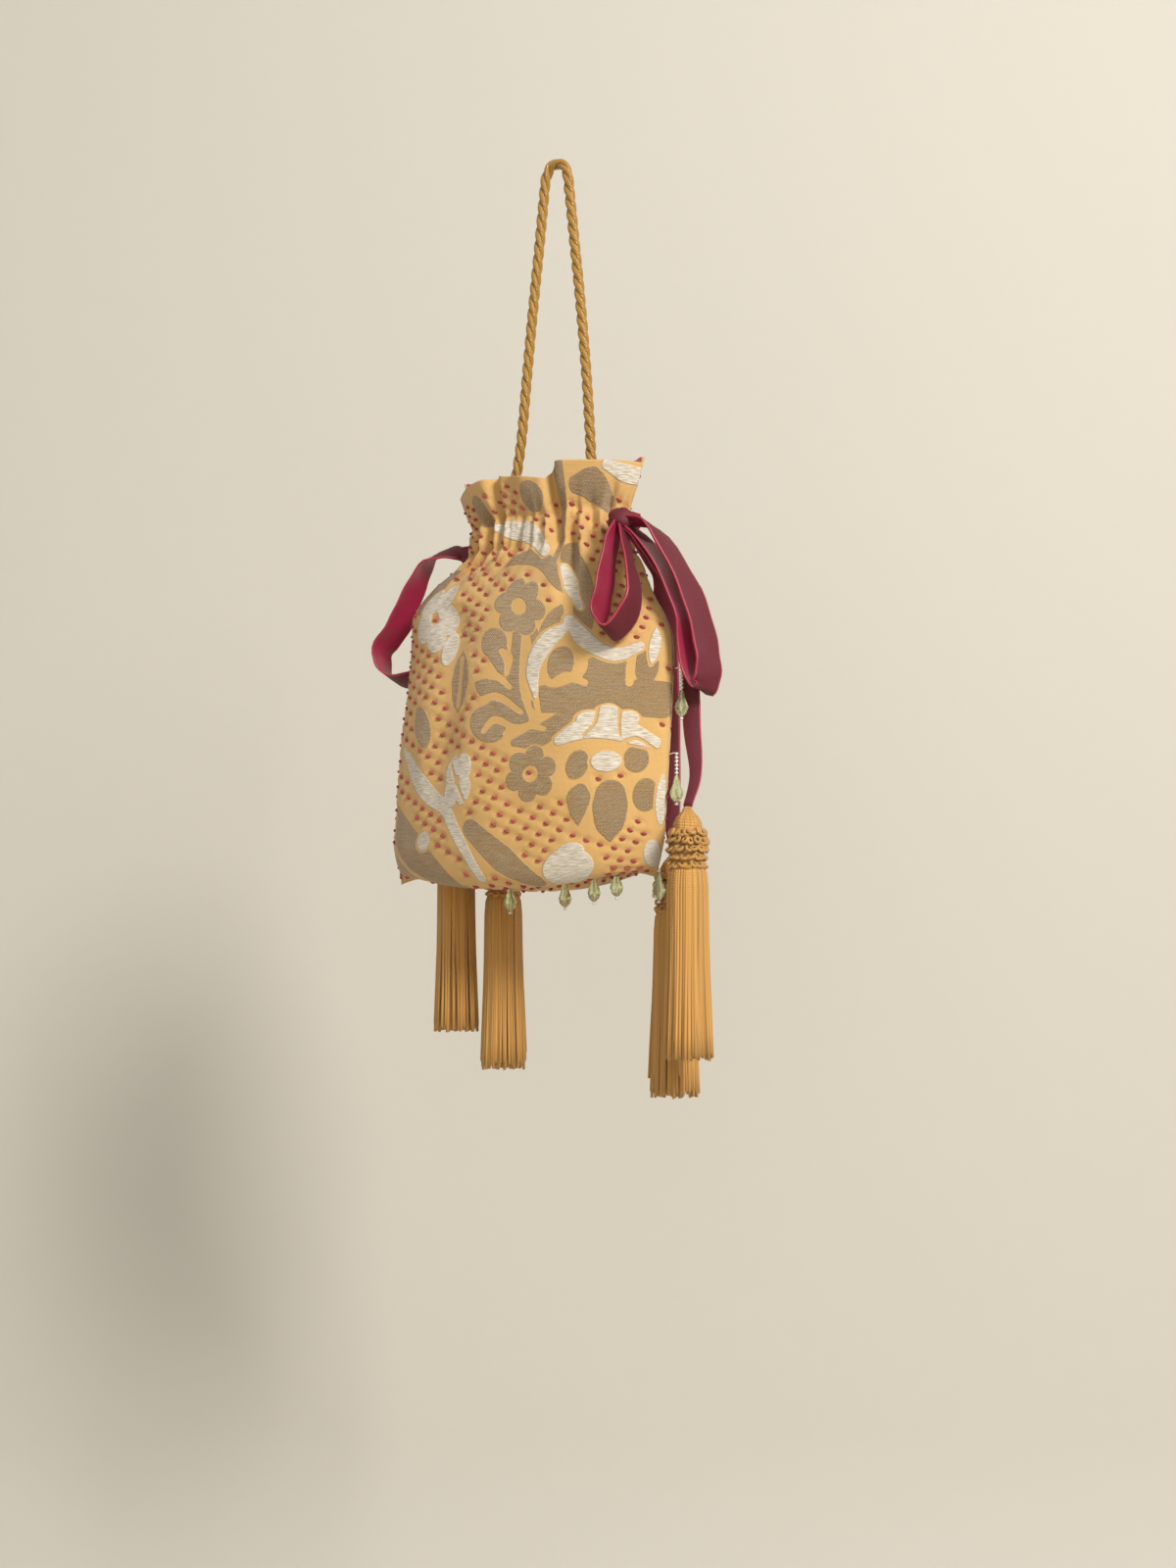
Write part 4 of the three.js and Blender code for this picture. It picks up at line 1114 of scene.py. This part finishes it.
        first, last = TAILS[hand].items()
        away = (1, -0.6, 0) if hand == "right" else (-1, -0.6, 0)
        tails = []
        for name, rows in (first, last):
            x, y, z = TASSEL_TOPS[name]
            end = (x, y, z + TAIL_END_GAP, rows[-1][3], TAIL_END_WIDTH)
            tails.append(self.band([lead(rows[0][3]), *rows, end], RIBBON_THICKNESS, away))
        loops = []
        for rows in LOOPS[hand]:
            loops.append(self.band([lead(rows[0][3]), *rows, lead(rows[-1][3])], RIBBON_THICKNESS, None))
        ring = self.run(hand)
        into = self.band([*EXITS[hand][::-1], (*ring[4][0], UPRIGHT, 6)], NECK_THICKNESS, away)
        neck = self.band([lead(UPRIGHT), *EXITS[hand][::-1]], NECK_THICKNESS, away)
        bands = [tails[0], loops[0], neck, into, ring, loops[1], tails[1]]
        points, faces, kinds, uvs, start = [], [], [], [], 0
        for p, f, k, u in [b[:4] for b in bands] + [self.knot(knot)]:
            points.append(p)
            faces.append(f + start)
            kinds.append(k)
            uvs.append(u)
            start += len(p)
        piece = place_mesh(f"{hand}_velvet_ribbon", np.vstack(points), np.vstack(faces), materials,
                           uv=np.vstack(uvs), kinds=np.concatenate(kinds))
        path = np.vstack([
            tails[0][4][::-1], loops[0][4], neck[4], into[4], ring[4],
            into[4][::-1], neck[4][::-1], loops[1][4], tails[1][4],
        ])
        keep = np.concatenate([[True], np.linalg.norm(np.diff(path, axis=0), axis=1) > 0.05])
        path = path[keep]
        finish(piece, "pouch", "velvet", f"{hand}_drawstring_ribbon")


MARK_REACH = 6  # distance in millimetres up to which a motif is stored


class POTLI_OT_brocade(bpy.types.Operator):
    """Front and back panels of brocade"""
    bl_idname = "potli.brocade"
    bl_label = "Brocade panels"

    def execute(self, context):
        settings = context.scene.potli_cloth
        weave = weave_group()
        material = brocade_material(settings, weave)
        for name, side in (("front", -1), ("back", 1)):
            def marks(g, d, side=side):
                bronze, silver = MOTIFS[side](g, d)
                return {
                    "bronze": np.clip(bronze, -MARK_REACH, MARK_REACH),
                    "silver": np.clip(silver, -MARK_REACH, MARK_REACH),
                }
            panel = cloth_sheet(f"{name}_brocade", side, lambda s: 0 * s, BROCADE_WALL, settings.rows,
                                settings.columns, [material], quilting, marks)
            finish(panel, "pouch", "brocade", f"{name}_brocade_panel")
        return {"FINISHED"}


STITCH_HALF, STITCH_ARCH, STITCH_RADIUS = 1.4, 0.6, 0.4


class POTLI_OT_stitches(bpy.types.Operator):
    """Short quilting stitches on the gold ground"""
    bl_idname = "potli.stitches"
    bl_label = "Quilting stitches"

    def execute(self, context):
        settings = context.scene.potli_cloth
        twist = twist_group()
        material = thread_material("stitch thread", tuple(settings.stitch), 0.55, twist, 60.0, 0.0002)
        rng = np.random.default_rng(7)
        for name, side in (("front", -1), ("back", 1)):
            k = np.arange(-60, 61)
            corners = np.stack(np.meshgrid(k, k), -1).reshape(-1, 2)
            places = net_places(corners)
            places = places[stitched(places, side)]
            place, normal, along_girth, down = cloth_frame(places[:, 0], places[:, 1], side)
            lean = rng.normal(0, 0.16, len(places))[:, None]
            way = unit(along_girth * (0.9 + 0 * lean) + down * (0.42 + lean))
            steps, sides = 6, 6
            t = np.linspace(-1, 1, steps)
            size = rng.uniform(0.9, 1.12, len(places))
            arch = STITCH_ARCH * (1 - t ** 2) - 0.3 * t ** 4 - DIMPLE_DEPTH * 0.9
            routes = place[:, None] + way[:, None] * (t * STITCH_HALF)[None, :, None] * size[:, None, None]
            routes = routes + normal[:, None] * arch[None, :, None]
            radii = np.broadcast_to(STITCH_RADIUS + STITCH_RADIUS * (1 - t ** 2), (len(places), steps))
            points = tube_points(routes, radii, sides, normal[:, None])
            faces = tube_faces(len(places), steps, sides)
            uv = tube_uv(points, 0.03, t / 60)
            tone = np.repeat(rng.uniform(0.3, 0.9, len(places)), steps * sides)
            points = points.reshape(-1, 3)
            piece = place_mesh(f"{name}_quilting_stitches", points, outward(points, faces), [material], uv=uv,
                               marks={"tone": tone})
            finish(piece, "pouch", "velvet")
        return {"FINISHED"}


class POTLI_OT_lining(bpy.types.Operator):
    """Front and back lining"""
    bl_idname = "potli.lining"
    bl_label = "Lining"

    def execute(self, context):
        settings = context.scene.potli_cloth
        weave = weave_group()
        material = plain_cloth_material(
            "lining satin", tuple(settings.lining), 0.45, weave, 45.0, 0.0001, 0.15)

        def inset(s):
            away = np.where(s < 0, -s * RUFFLE_HEIGHT, s * BODY_HEIGHT)
            room = ease(0, 9, CHANNEL_HALF + 9 - away)
            return RUN_INSET + room * (RUN_THICKNESS + LAYER_GAP) + 1.2 * ease(*TURN_UNDER, s)

        for name, side in (("front", -1), ("back", 1)):
            panel = cloth_sheet(f"{name}_lining", side, inset, LINING_WALL, 112, 100, [material])
            finish(panel, "pouch", "lining", f"{name}_lining_panel")
        return {"FINISHED"}


DOME_HEIGHT = 11.0
RUFF_HEIGHT, RUFF_RADIUS = 19.0, 10.0
CORE_RADIUS, CORE_BORE = 7.6, 6.4
RUFF_ROWS, RUFF_LOOPS = 5, 17
SKIRT_LENGTH, SKIRT_TOP, SKIRT_END = 91.0, 10.2, 12.2


class POTLI_OT_tassels(bpy.types.Operator):
    """Four tassels of twisted thread with knotted ruffs"""
    bl_idname = "potli.tassels"
    bl_label = "Tassels"

    def execute(self, context):
        settings = context.scene.potli_trim
        twist = twist_group()
        skirt = thread_material("tassel thread", tuple(settings.thread), 0.5, twist, 46.0, 0.0003)
        darker = tinted(settings.thread, 0.9)
        knots = thread_material("knotted thread", darker, 0.42, twist, 30.0, 0.0003)
        bpy.ops.object.select_all(action="DESELECT")
        bpy.ops.mesh.primitive_torus_add(
            major_radius=1.6, minor_radius=0.86, major_segments=10, minor_segments=6)
        sample = bpy.context.object
        ring = np.array([v.co for v in sample.data.vertices])
        ring_faces = np.array([list(p.vertices) for p in sample.data.polygons])
        bpy.data.objects.remove(sample)
        for seed, (name, top) in enumerate(TASSEL_TOPS.items()):
            rng = np.random.default_rng(20 + seed)
            body = f"{name}_tassel"
            place = np.array(top, float)
            threads = self.threads(name, place, settings.tassel_threads, rng, skirt)
            finish(threads, body, "tassel", f"{name}_tassel_threads")
            ruff = self.ruff(name, place, ring, ring_faces, rng, knots)
            finish(ruff, body, "tassel", f"{name}_tassel_ruff")
        return {"FINISHED"}

    def threads(self, name, top, count, rng, material):
        """Threads laid over the dome, through the ruff and down to the uneven ends."""
        share = np.array((
            0.0, 0.02, 0.045, 0.07, 0.1, 0.14, 0.2, 0.245, 0.27, 0.33, 0.42, 0.54, 0.66, 0.78, 0.9, 1.0))
        depth = share * (DOME_HEIGHT + RUFF_HEIGHT + SKIRT_LENGTH)
        profile = ((0, 2.2), (2.5, 3.4), (5, 5.6), (8, 7.3), (11, 7.6), (14, 5.6), (24, 5.6), (30, 8.6),
                   (34, SKIRT_TOP), (75, SKIRT_TOP + 0.4), (121, SKIRT_END))
        reach = np.interp(depth, *np.array(profile).T)
        order = np.arange(count)
        layer = np.where(order < count * 0.46, 1.0, np.where(order < count * 0.8, 0.8, 0.52))
        turn = rng.uniform(0, 2 * np.pi, count)
        outer = layer == 1.0
        even = np.linspace(0, 2 * np.pi, outer.sum(), endpoint=False)
        turn[outer] = even + rng.normal(0, 0.03, outer.sum())
        sway = rng.normal(0, 0.05, count)
        ends = rng.uniform(0.975, 1.035, count) * np.where(rng.uniform(size=count) < 0.04, 0.9, 1.0)
        drift = ease(30, 121, depth)
        angle = turn[:, None] + sway[:, None] * drift[None, :]
        lift = np.where(depth < 30, 1.0, layer[:, None] + 0 * depth)
        radius = reach[None, :] * lift - 0.75
        radius = np.maximum(radius + rng.normal(0, 0.35, count)[:, None] * drift, 0.2)
        z = -np.where(depth > 34, 34 + (depth - 34) * ends[:, None], depth)
        z = np.broadcast_to(z, radius.shape)
        routes = np.stack([radius * np.cos(angle), radius * np.sin(angle), z], -1)
        steps, sides = len(share), 5
        thick = np.where(depth < 4, 0.35, np.where(depth < 12, 0.55, 0.78)) * np.ones((count, 1))
        points = tube_points(routes, thick, sides, (1, 0.2, 0))
        faces = self.closed(count, steps, sides)
        uv = tube_uv(points, 0.05, depth / 100)
        tone = np.repeat(np.clip(rng.normal(0.6, 0.22, count), 0.05, 1.0), steps * sides)
        points = points.reshape(-1, 3) + top
        return place_mesh(f"{name}_tassel_skirt", points, faces, [material], uv=uv, marks={"tone": tone})

    def closed(self, count, steps, sides):
        """Faces of tubes whose ends are closed by one face each."""
        one = [list(f) for f in grid_faces(steps, sides, ring=True)]
        one.append(list(range(sides))[::-1])
        one.append([(steps - 1) * sides + k for k in range(sides)])
        return [[v + n * steps * sides for v in f] for n in range(count) for f in one]

    def ruff(self, name, top, ring, ring_faces, rng, material):
        """Rows of little knotted loops around the neck of the tassel."""
        points, faces, tones, uvs = [], [], [], []
        for row in range(RUFF_ROWS):
            t = row / (RUFF_ROWS - 1)
            z = -DOME_HEIGHT - 1.6 - t * (RUFF_HEIGHT - 3.2)
            around = RUFF_RADIUS - 2.0 + 1.0 * math.sin(math.pi * min(1, 1.3 * t))
            for k in range(RUFF_LOOPS):
                angle = 2 * math.pi * (k + 0.5 * (row % 2)) / RUFF_LOOPS + rng.normal(0, 0.05)
                twist = Matrix.Rotation(rng.uniform(0.7, 2.2), 3, "Z")
                tilt = twist @ Matrix.Rotation(rng.uniform(0.5, 1.25), 3, "X")
                turn = np.array(Matrix.Rotation(angle, 3, "Z") @ tilt)
                loop = ring * rng.uniform(0.92, 1.15) @ turn.T
                height = z + rng.normal(0, 0.3)
                centre = np.array((around * math.cos(angle), around * math.sin(angle), height))
                faces.append(ring_faces + sum(len(p) for p in points))
                points.append(loop + centre)
                tones.append(np.full(len(ring), np.clip(rng.normal(0.6, 0.2), 0.1, 1)))
                uvs.append(ring[:, :2] / 40)
        core_rows, columns = 9, 24
        z = np.linspace(-DOME_HEIGHT - 0.9, -DOME_HEIGHT - RUFF_HEIGHT + 0.9, core_rows)
        turn = 2 * np.pi * np.arange(columns) / columns
        circle = CORE_RADIUS * np.stack([np.cos(turn), np.sin(turn)])
        outer = np.stack(np.broadcast_arrays(circle[0][None], circle[1][None], z[:, None]), -1)
        inner = outer[::-1] * np.array((CORE_BORE / CORE_RADIUS, CORE_BORE / CORE_RADIUS, 1))
        core = np.concatenate([outer, inner, outer[:1]]).reshape(-1, 3)
        faces.append(grid_faces(2 * core_rows + 1, columns, ring=True) + sum(len(p) for p in points))
        points.append(core)
        # Painted shade: the core, seen only in the gaps between the knotted loops, is given a darker tone
        # than the loops.
        tones.append(np.full(len(core), 0.2))
        uvs.append(core[:, :2] / 40)
        piece = place_mesh(f"{name}_tassel_knots", np.vstack(points) + top, np.vstack(faces), [material],
                           uv=np.vstack(uvs), marks={"tone": np.concatenate(tones)})
        return piece


SEED_PITCH = 1.9
DROP_LENGTH, DROP_RADIUS, BEAD_GAP = 13.0, 3.3, 0.3
STRING_RADIUS = 0.28
# Share of the length, radius and turn of each ring of facets
DROP_RINGS = ((0, 0.8, 0), (0.3, 1.8, 18), (0.66, 3.5, 0), (0.86, 2.7, 18), (1, 1.1, 0))
DROPS = {
    "side_upper": 6, "side_lower": 6, "bottom_left": 6, "bottom_middle": 5,
    "bottom_right": 3, "bottom_end": 1, "corner": 1,
}


class POTLI_OT_drops(bpy.types.Operator):
    """Crystal drops on strings of seed beads"""
    bl_idname = "potli.drops"
    bl_label = "Beaded drops"

    def execute(self, context):
        settings = context.scene.potli_trim
        crystal, tree, shader = new_material("olive crystal", tuple(settings.crystal), 0.04, IOR=1.54,
                                             Transmission_Weight=0.82, Specular_IOR_Level=0.6)
        cloud = noise(tree, add(tree, "ShaderNodeTexCoord").outputs["Object"], 400.0, 2.0)
        wire(tree, maths(tree, "ADD", maths(tree, "MULTIPLY", cloud, 0.06), 0.02), shader.inputs["Roughness"])
        seed, tree, shader = new_material("silver-lined seed", (0.78, 0.77, 0.66), 0.16, Metallic=0.35,
                                          Coat_Weight=0.8)
        cloud = noise(tree, add(tree, "ShaderNodeTexCoord").outputs["Object"], 900.0, 2.0)
        wire(tree, mixed(tree, cloud, (0.55, 0.54, 0.44), (0.92, 0.91, 0.82)), shader.inputs["Base Color"])
        cut = self.cut_drop()
        bead = self.seed_bead()
        for name, seeds in DROPS.items():
            low, high = (np.array(v) * 1000 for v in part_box(f"{name}_crystal_drop"))
            middle = (low + high) / 2
            self.crystal(name, cut, np.array((middle[0], middle[1], high[2])), crystal)
            self.string(name, bead, np.array((middle[0], middle[1], high[2])), seeds, seed)
        for thing in (cut, bead):
            bpy.data.objects.remove(thing)
        return {"FINISHED"}

    def cut_drop(self):
        """One faceted drop, cut from a prism: rings at set heights are drawn in and turned."""
        bpy.ops.object.select_all(action="DESELECT")
        bpy.ops.mesh.primitive_cylinder_add(vertices=10, radius=DROP_RADIUS, depth=DROP_LENGTH,
                                            location=(0, 0, -DROP_LENGTH / 2))
        drop = bpy.context.object
        bpy.ops.object.transform_apply(location=True, rotation=True, scale=True)
        bpy.ops.object.mode_set(mode="EDIT")
        for share in (0.3, 0.66, 0.86):
            bpy.ops.mesh.select_all(action="SELECT")
            bpy.ops.mesh.bisect(plane_co=(0, 0, -DROP_LENGTH * share), plane_no=(0, 0, 1))
        bpy.ops.mesh.select_all(action="SELECT")
        bpy.ops.mesh.remove_doubles(threshold=0.001)
        bpy.ops.object.mode_set(mode="OBJECT")
        for share, radius, turn in DROP_RINGS:
            c, s = math.cos(math.radians(turn)), math.sin(math.radians(turn))
            for v in drop.data.vertices:
                if abs(v.co.z + DROP_LENGTH * share) < 0.01:
                    x, y = v.co.x * radius / DROP_RADIUS, v.co.y * radius / DROP_RADIUS
                    v.co.x, v.co.y = x * c - y * s, x * s + y * c
        bpy.ops.object.mode_set(mode="EDIT")
        bpy.ops.mesh.select_all(action="SELECT")
        bpy.ops.mesh.quads_convert_to_tris(quad_method="SHORTEST_DIAGONAL", ngon_method="BEAUTY")
        bpy.ops.mesh.normals_make_consistent(inside=False)
        bpy.ops.object.mode_set(mode="OBJECT")
        return drop

    def seed_bead(self):
        """One seed bead with its hole."""
        bpy.ops.object.select_all(action="DESELECT")
        bpy.ops.mesh.primitive_torus_add(
            major_radius=0.58, minor_radius=0.37, major_segments=12, minor_segments=7)
        bead = bpy.context.object
        bpy.ops.object.mode_set(mode="EDIT")
        bpy.ops.mesh.select_all(action="SELECT")
        bpy.ops.transform.resize(value=(1, 1, 1.75))
        bpy.ops.object.mode_set(mode="OBJECT")
        return bead

    def shape_of(self, thing):
        points = np.array([v.co for v in thing.data.vertices])
        return points, [list(p.vertices) for p in thing.data.polygons]

    def crystal(self, name, cut, top, material):
        points, faces = self.shape_of(cut)
        piece = place_mesh(f"{name}_cut_crystal", points + top, faces, [material], smooth=False)
        finish(piece, f"{name}_drop", "crystal", f"{name}_crystal_drop")

    def string(self, name, bead, top, seeds, material):
        shape, shape_faces = self.shape_of(bead)
        first = top[2] + BEAD_GAP + (seeds - 0.5) * SEED_PITCH
        heights = [first - k * SEED_PITCH for k in range(seeds)]
        heights.append(top[2] - DROP_LENGTH - BEAD_GAP - 0.8)
        points, faces = [], []
        for z in heights:
            faces += [[v + sum(len(p) for p in points) for v in f] for f in shape_faces]
            points.append(shape + np.array((top[0], top[1], z)))
        low, high = (np.array(v) * 1000 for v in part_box(f"{name}_seed_string"))
        if name.startswith("side"):
            route = ((low[0], 0, first), (low[0] + 1, 0, first + 0.2), (top[0] - 1.5, 0, first + 0.5),
                     (top[0] - 0.3, 0, first + 0.2), (top[0], 0, first - 0.8), (top[0], 0, heights[-1]))
        else:
            route = ((top[0], 0, high[2]), (top[0], 0, (high[2] + heights[-1]) / 2), (top[0], 0, heights[-1]))
        route = smooth_route(route, 4)
        thread = tube_points([route], np.full((1, len(route)), STRING_RADIUS), 6, (0, 1, 0))
        thread_faces = tube_faces(1, thread.shape[1], 6)
        faces += [list(f) for f in outward(thread.reshape(-1, 3), thread_faces) + sum(len(p) for p in points)]
        points.append(thread.reshape(-1, 3))
        piece = place_mesh(f"{name}_bead_string", np.vstack(points), faces, [material])
        finish(piece, f"{name}_drop", "seed_beads", f"{name}_seed_string")


class POTLI_PT_panel(bpy.types.Panel):
    """Lists the pieces of the potli"""
    bl_idname = "POTLI_PT_panel"
    bl_label = "Potli bag"
    bl_space_type = "VIEW_3D"
    bl_region_type = "UI"
    bl_category = "Potli"

    def draw(self, context):
        for operator in OPERATORS:
            self.layout.operator(operator.bl_idname)
        for settings in (context.scene.potli_cloth, context.scene.potli_trim, context.scene.potli_stage):
            for key in settings.__annotations__:
                self.layout.prop(settings, key)


SETTINGS = {
    "potli_cloth": PotliClothSettings,
    "potli_trim": PotliTrimSettings,
    "potli_stage": PotliStageSettings,
}
OPERATORS = (
    POTLI_OT_stage, POTLI_OT_handle_rope, POTLI_OT_ribbons, POTLI_OT_brocade,
    POTLI_OT_stitches, POTLI_OT_lining, POTLI_OT_tassels, POTLI_OT_drops,
)


def register():
    for cls in (*SETTINGS.values(), *OPERATORS, POTLI_PT_panel):
        bpy.utils.register_class(cls)
    for name, cls in SETTINGS.items():
        setattr(bpy.types.Scene, name, bpy.props.PointerProperty(type=cls))


def unregister():
    for name in SETTINGS:
        delattr(bpy.types.Scene, name)
    for cls in (POTLI_PT_panel, *reversed(OPERATORS), *reversed(tuple(SETTINGS.values()))):
        bpy.utils.unregister_class(cls)


def main():
    register()
    for operator in OPERATORS:
        getattr(bpy.ops.potli, operator.bl_idname.split(".")[1])()


if __name__ == "__main__":
    main()
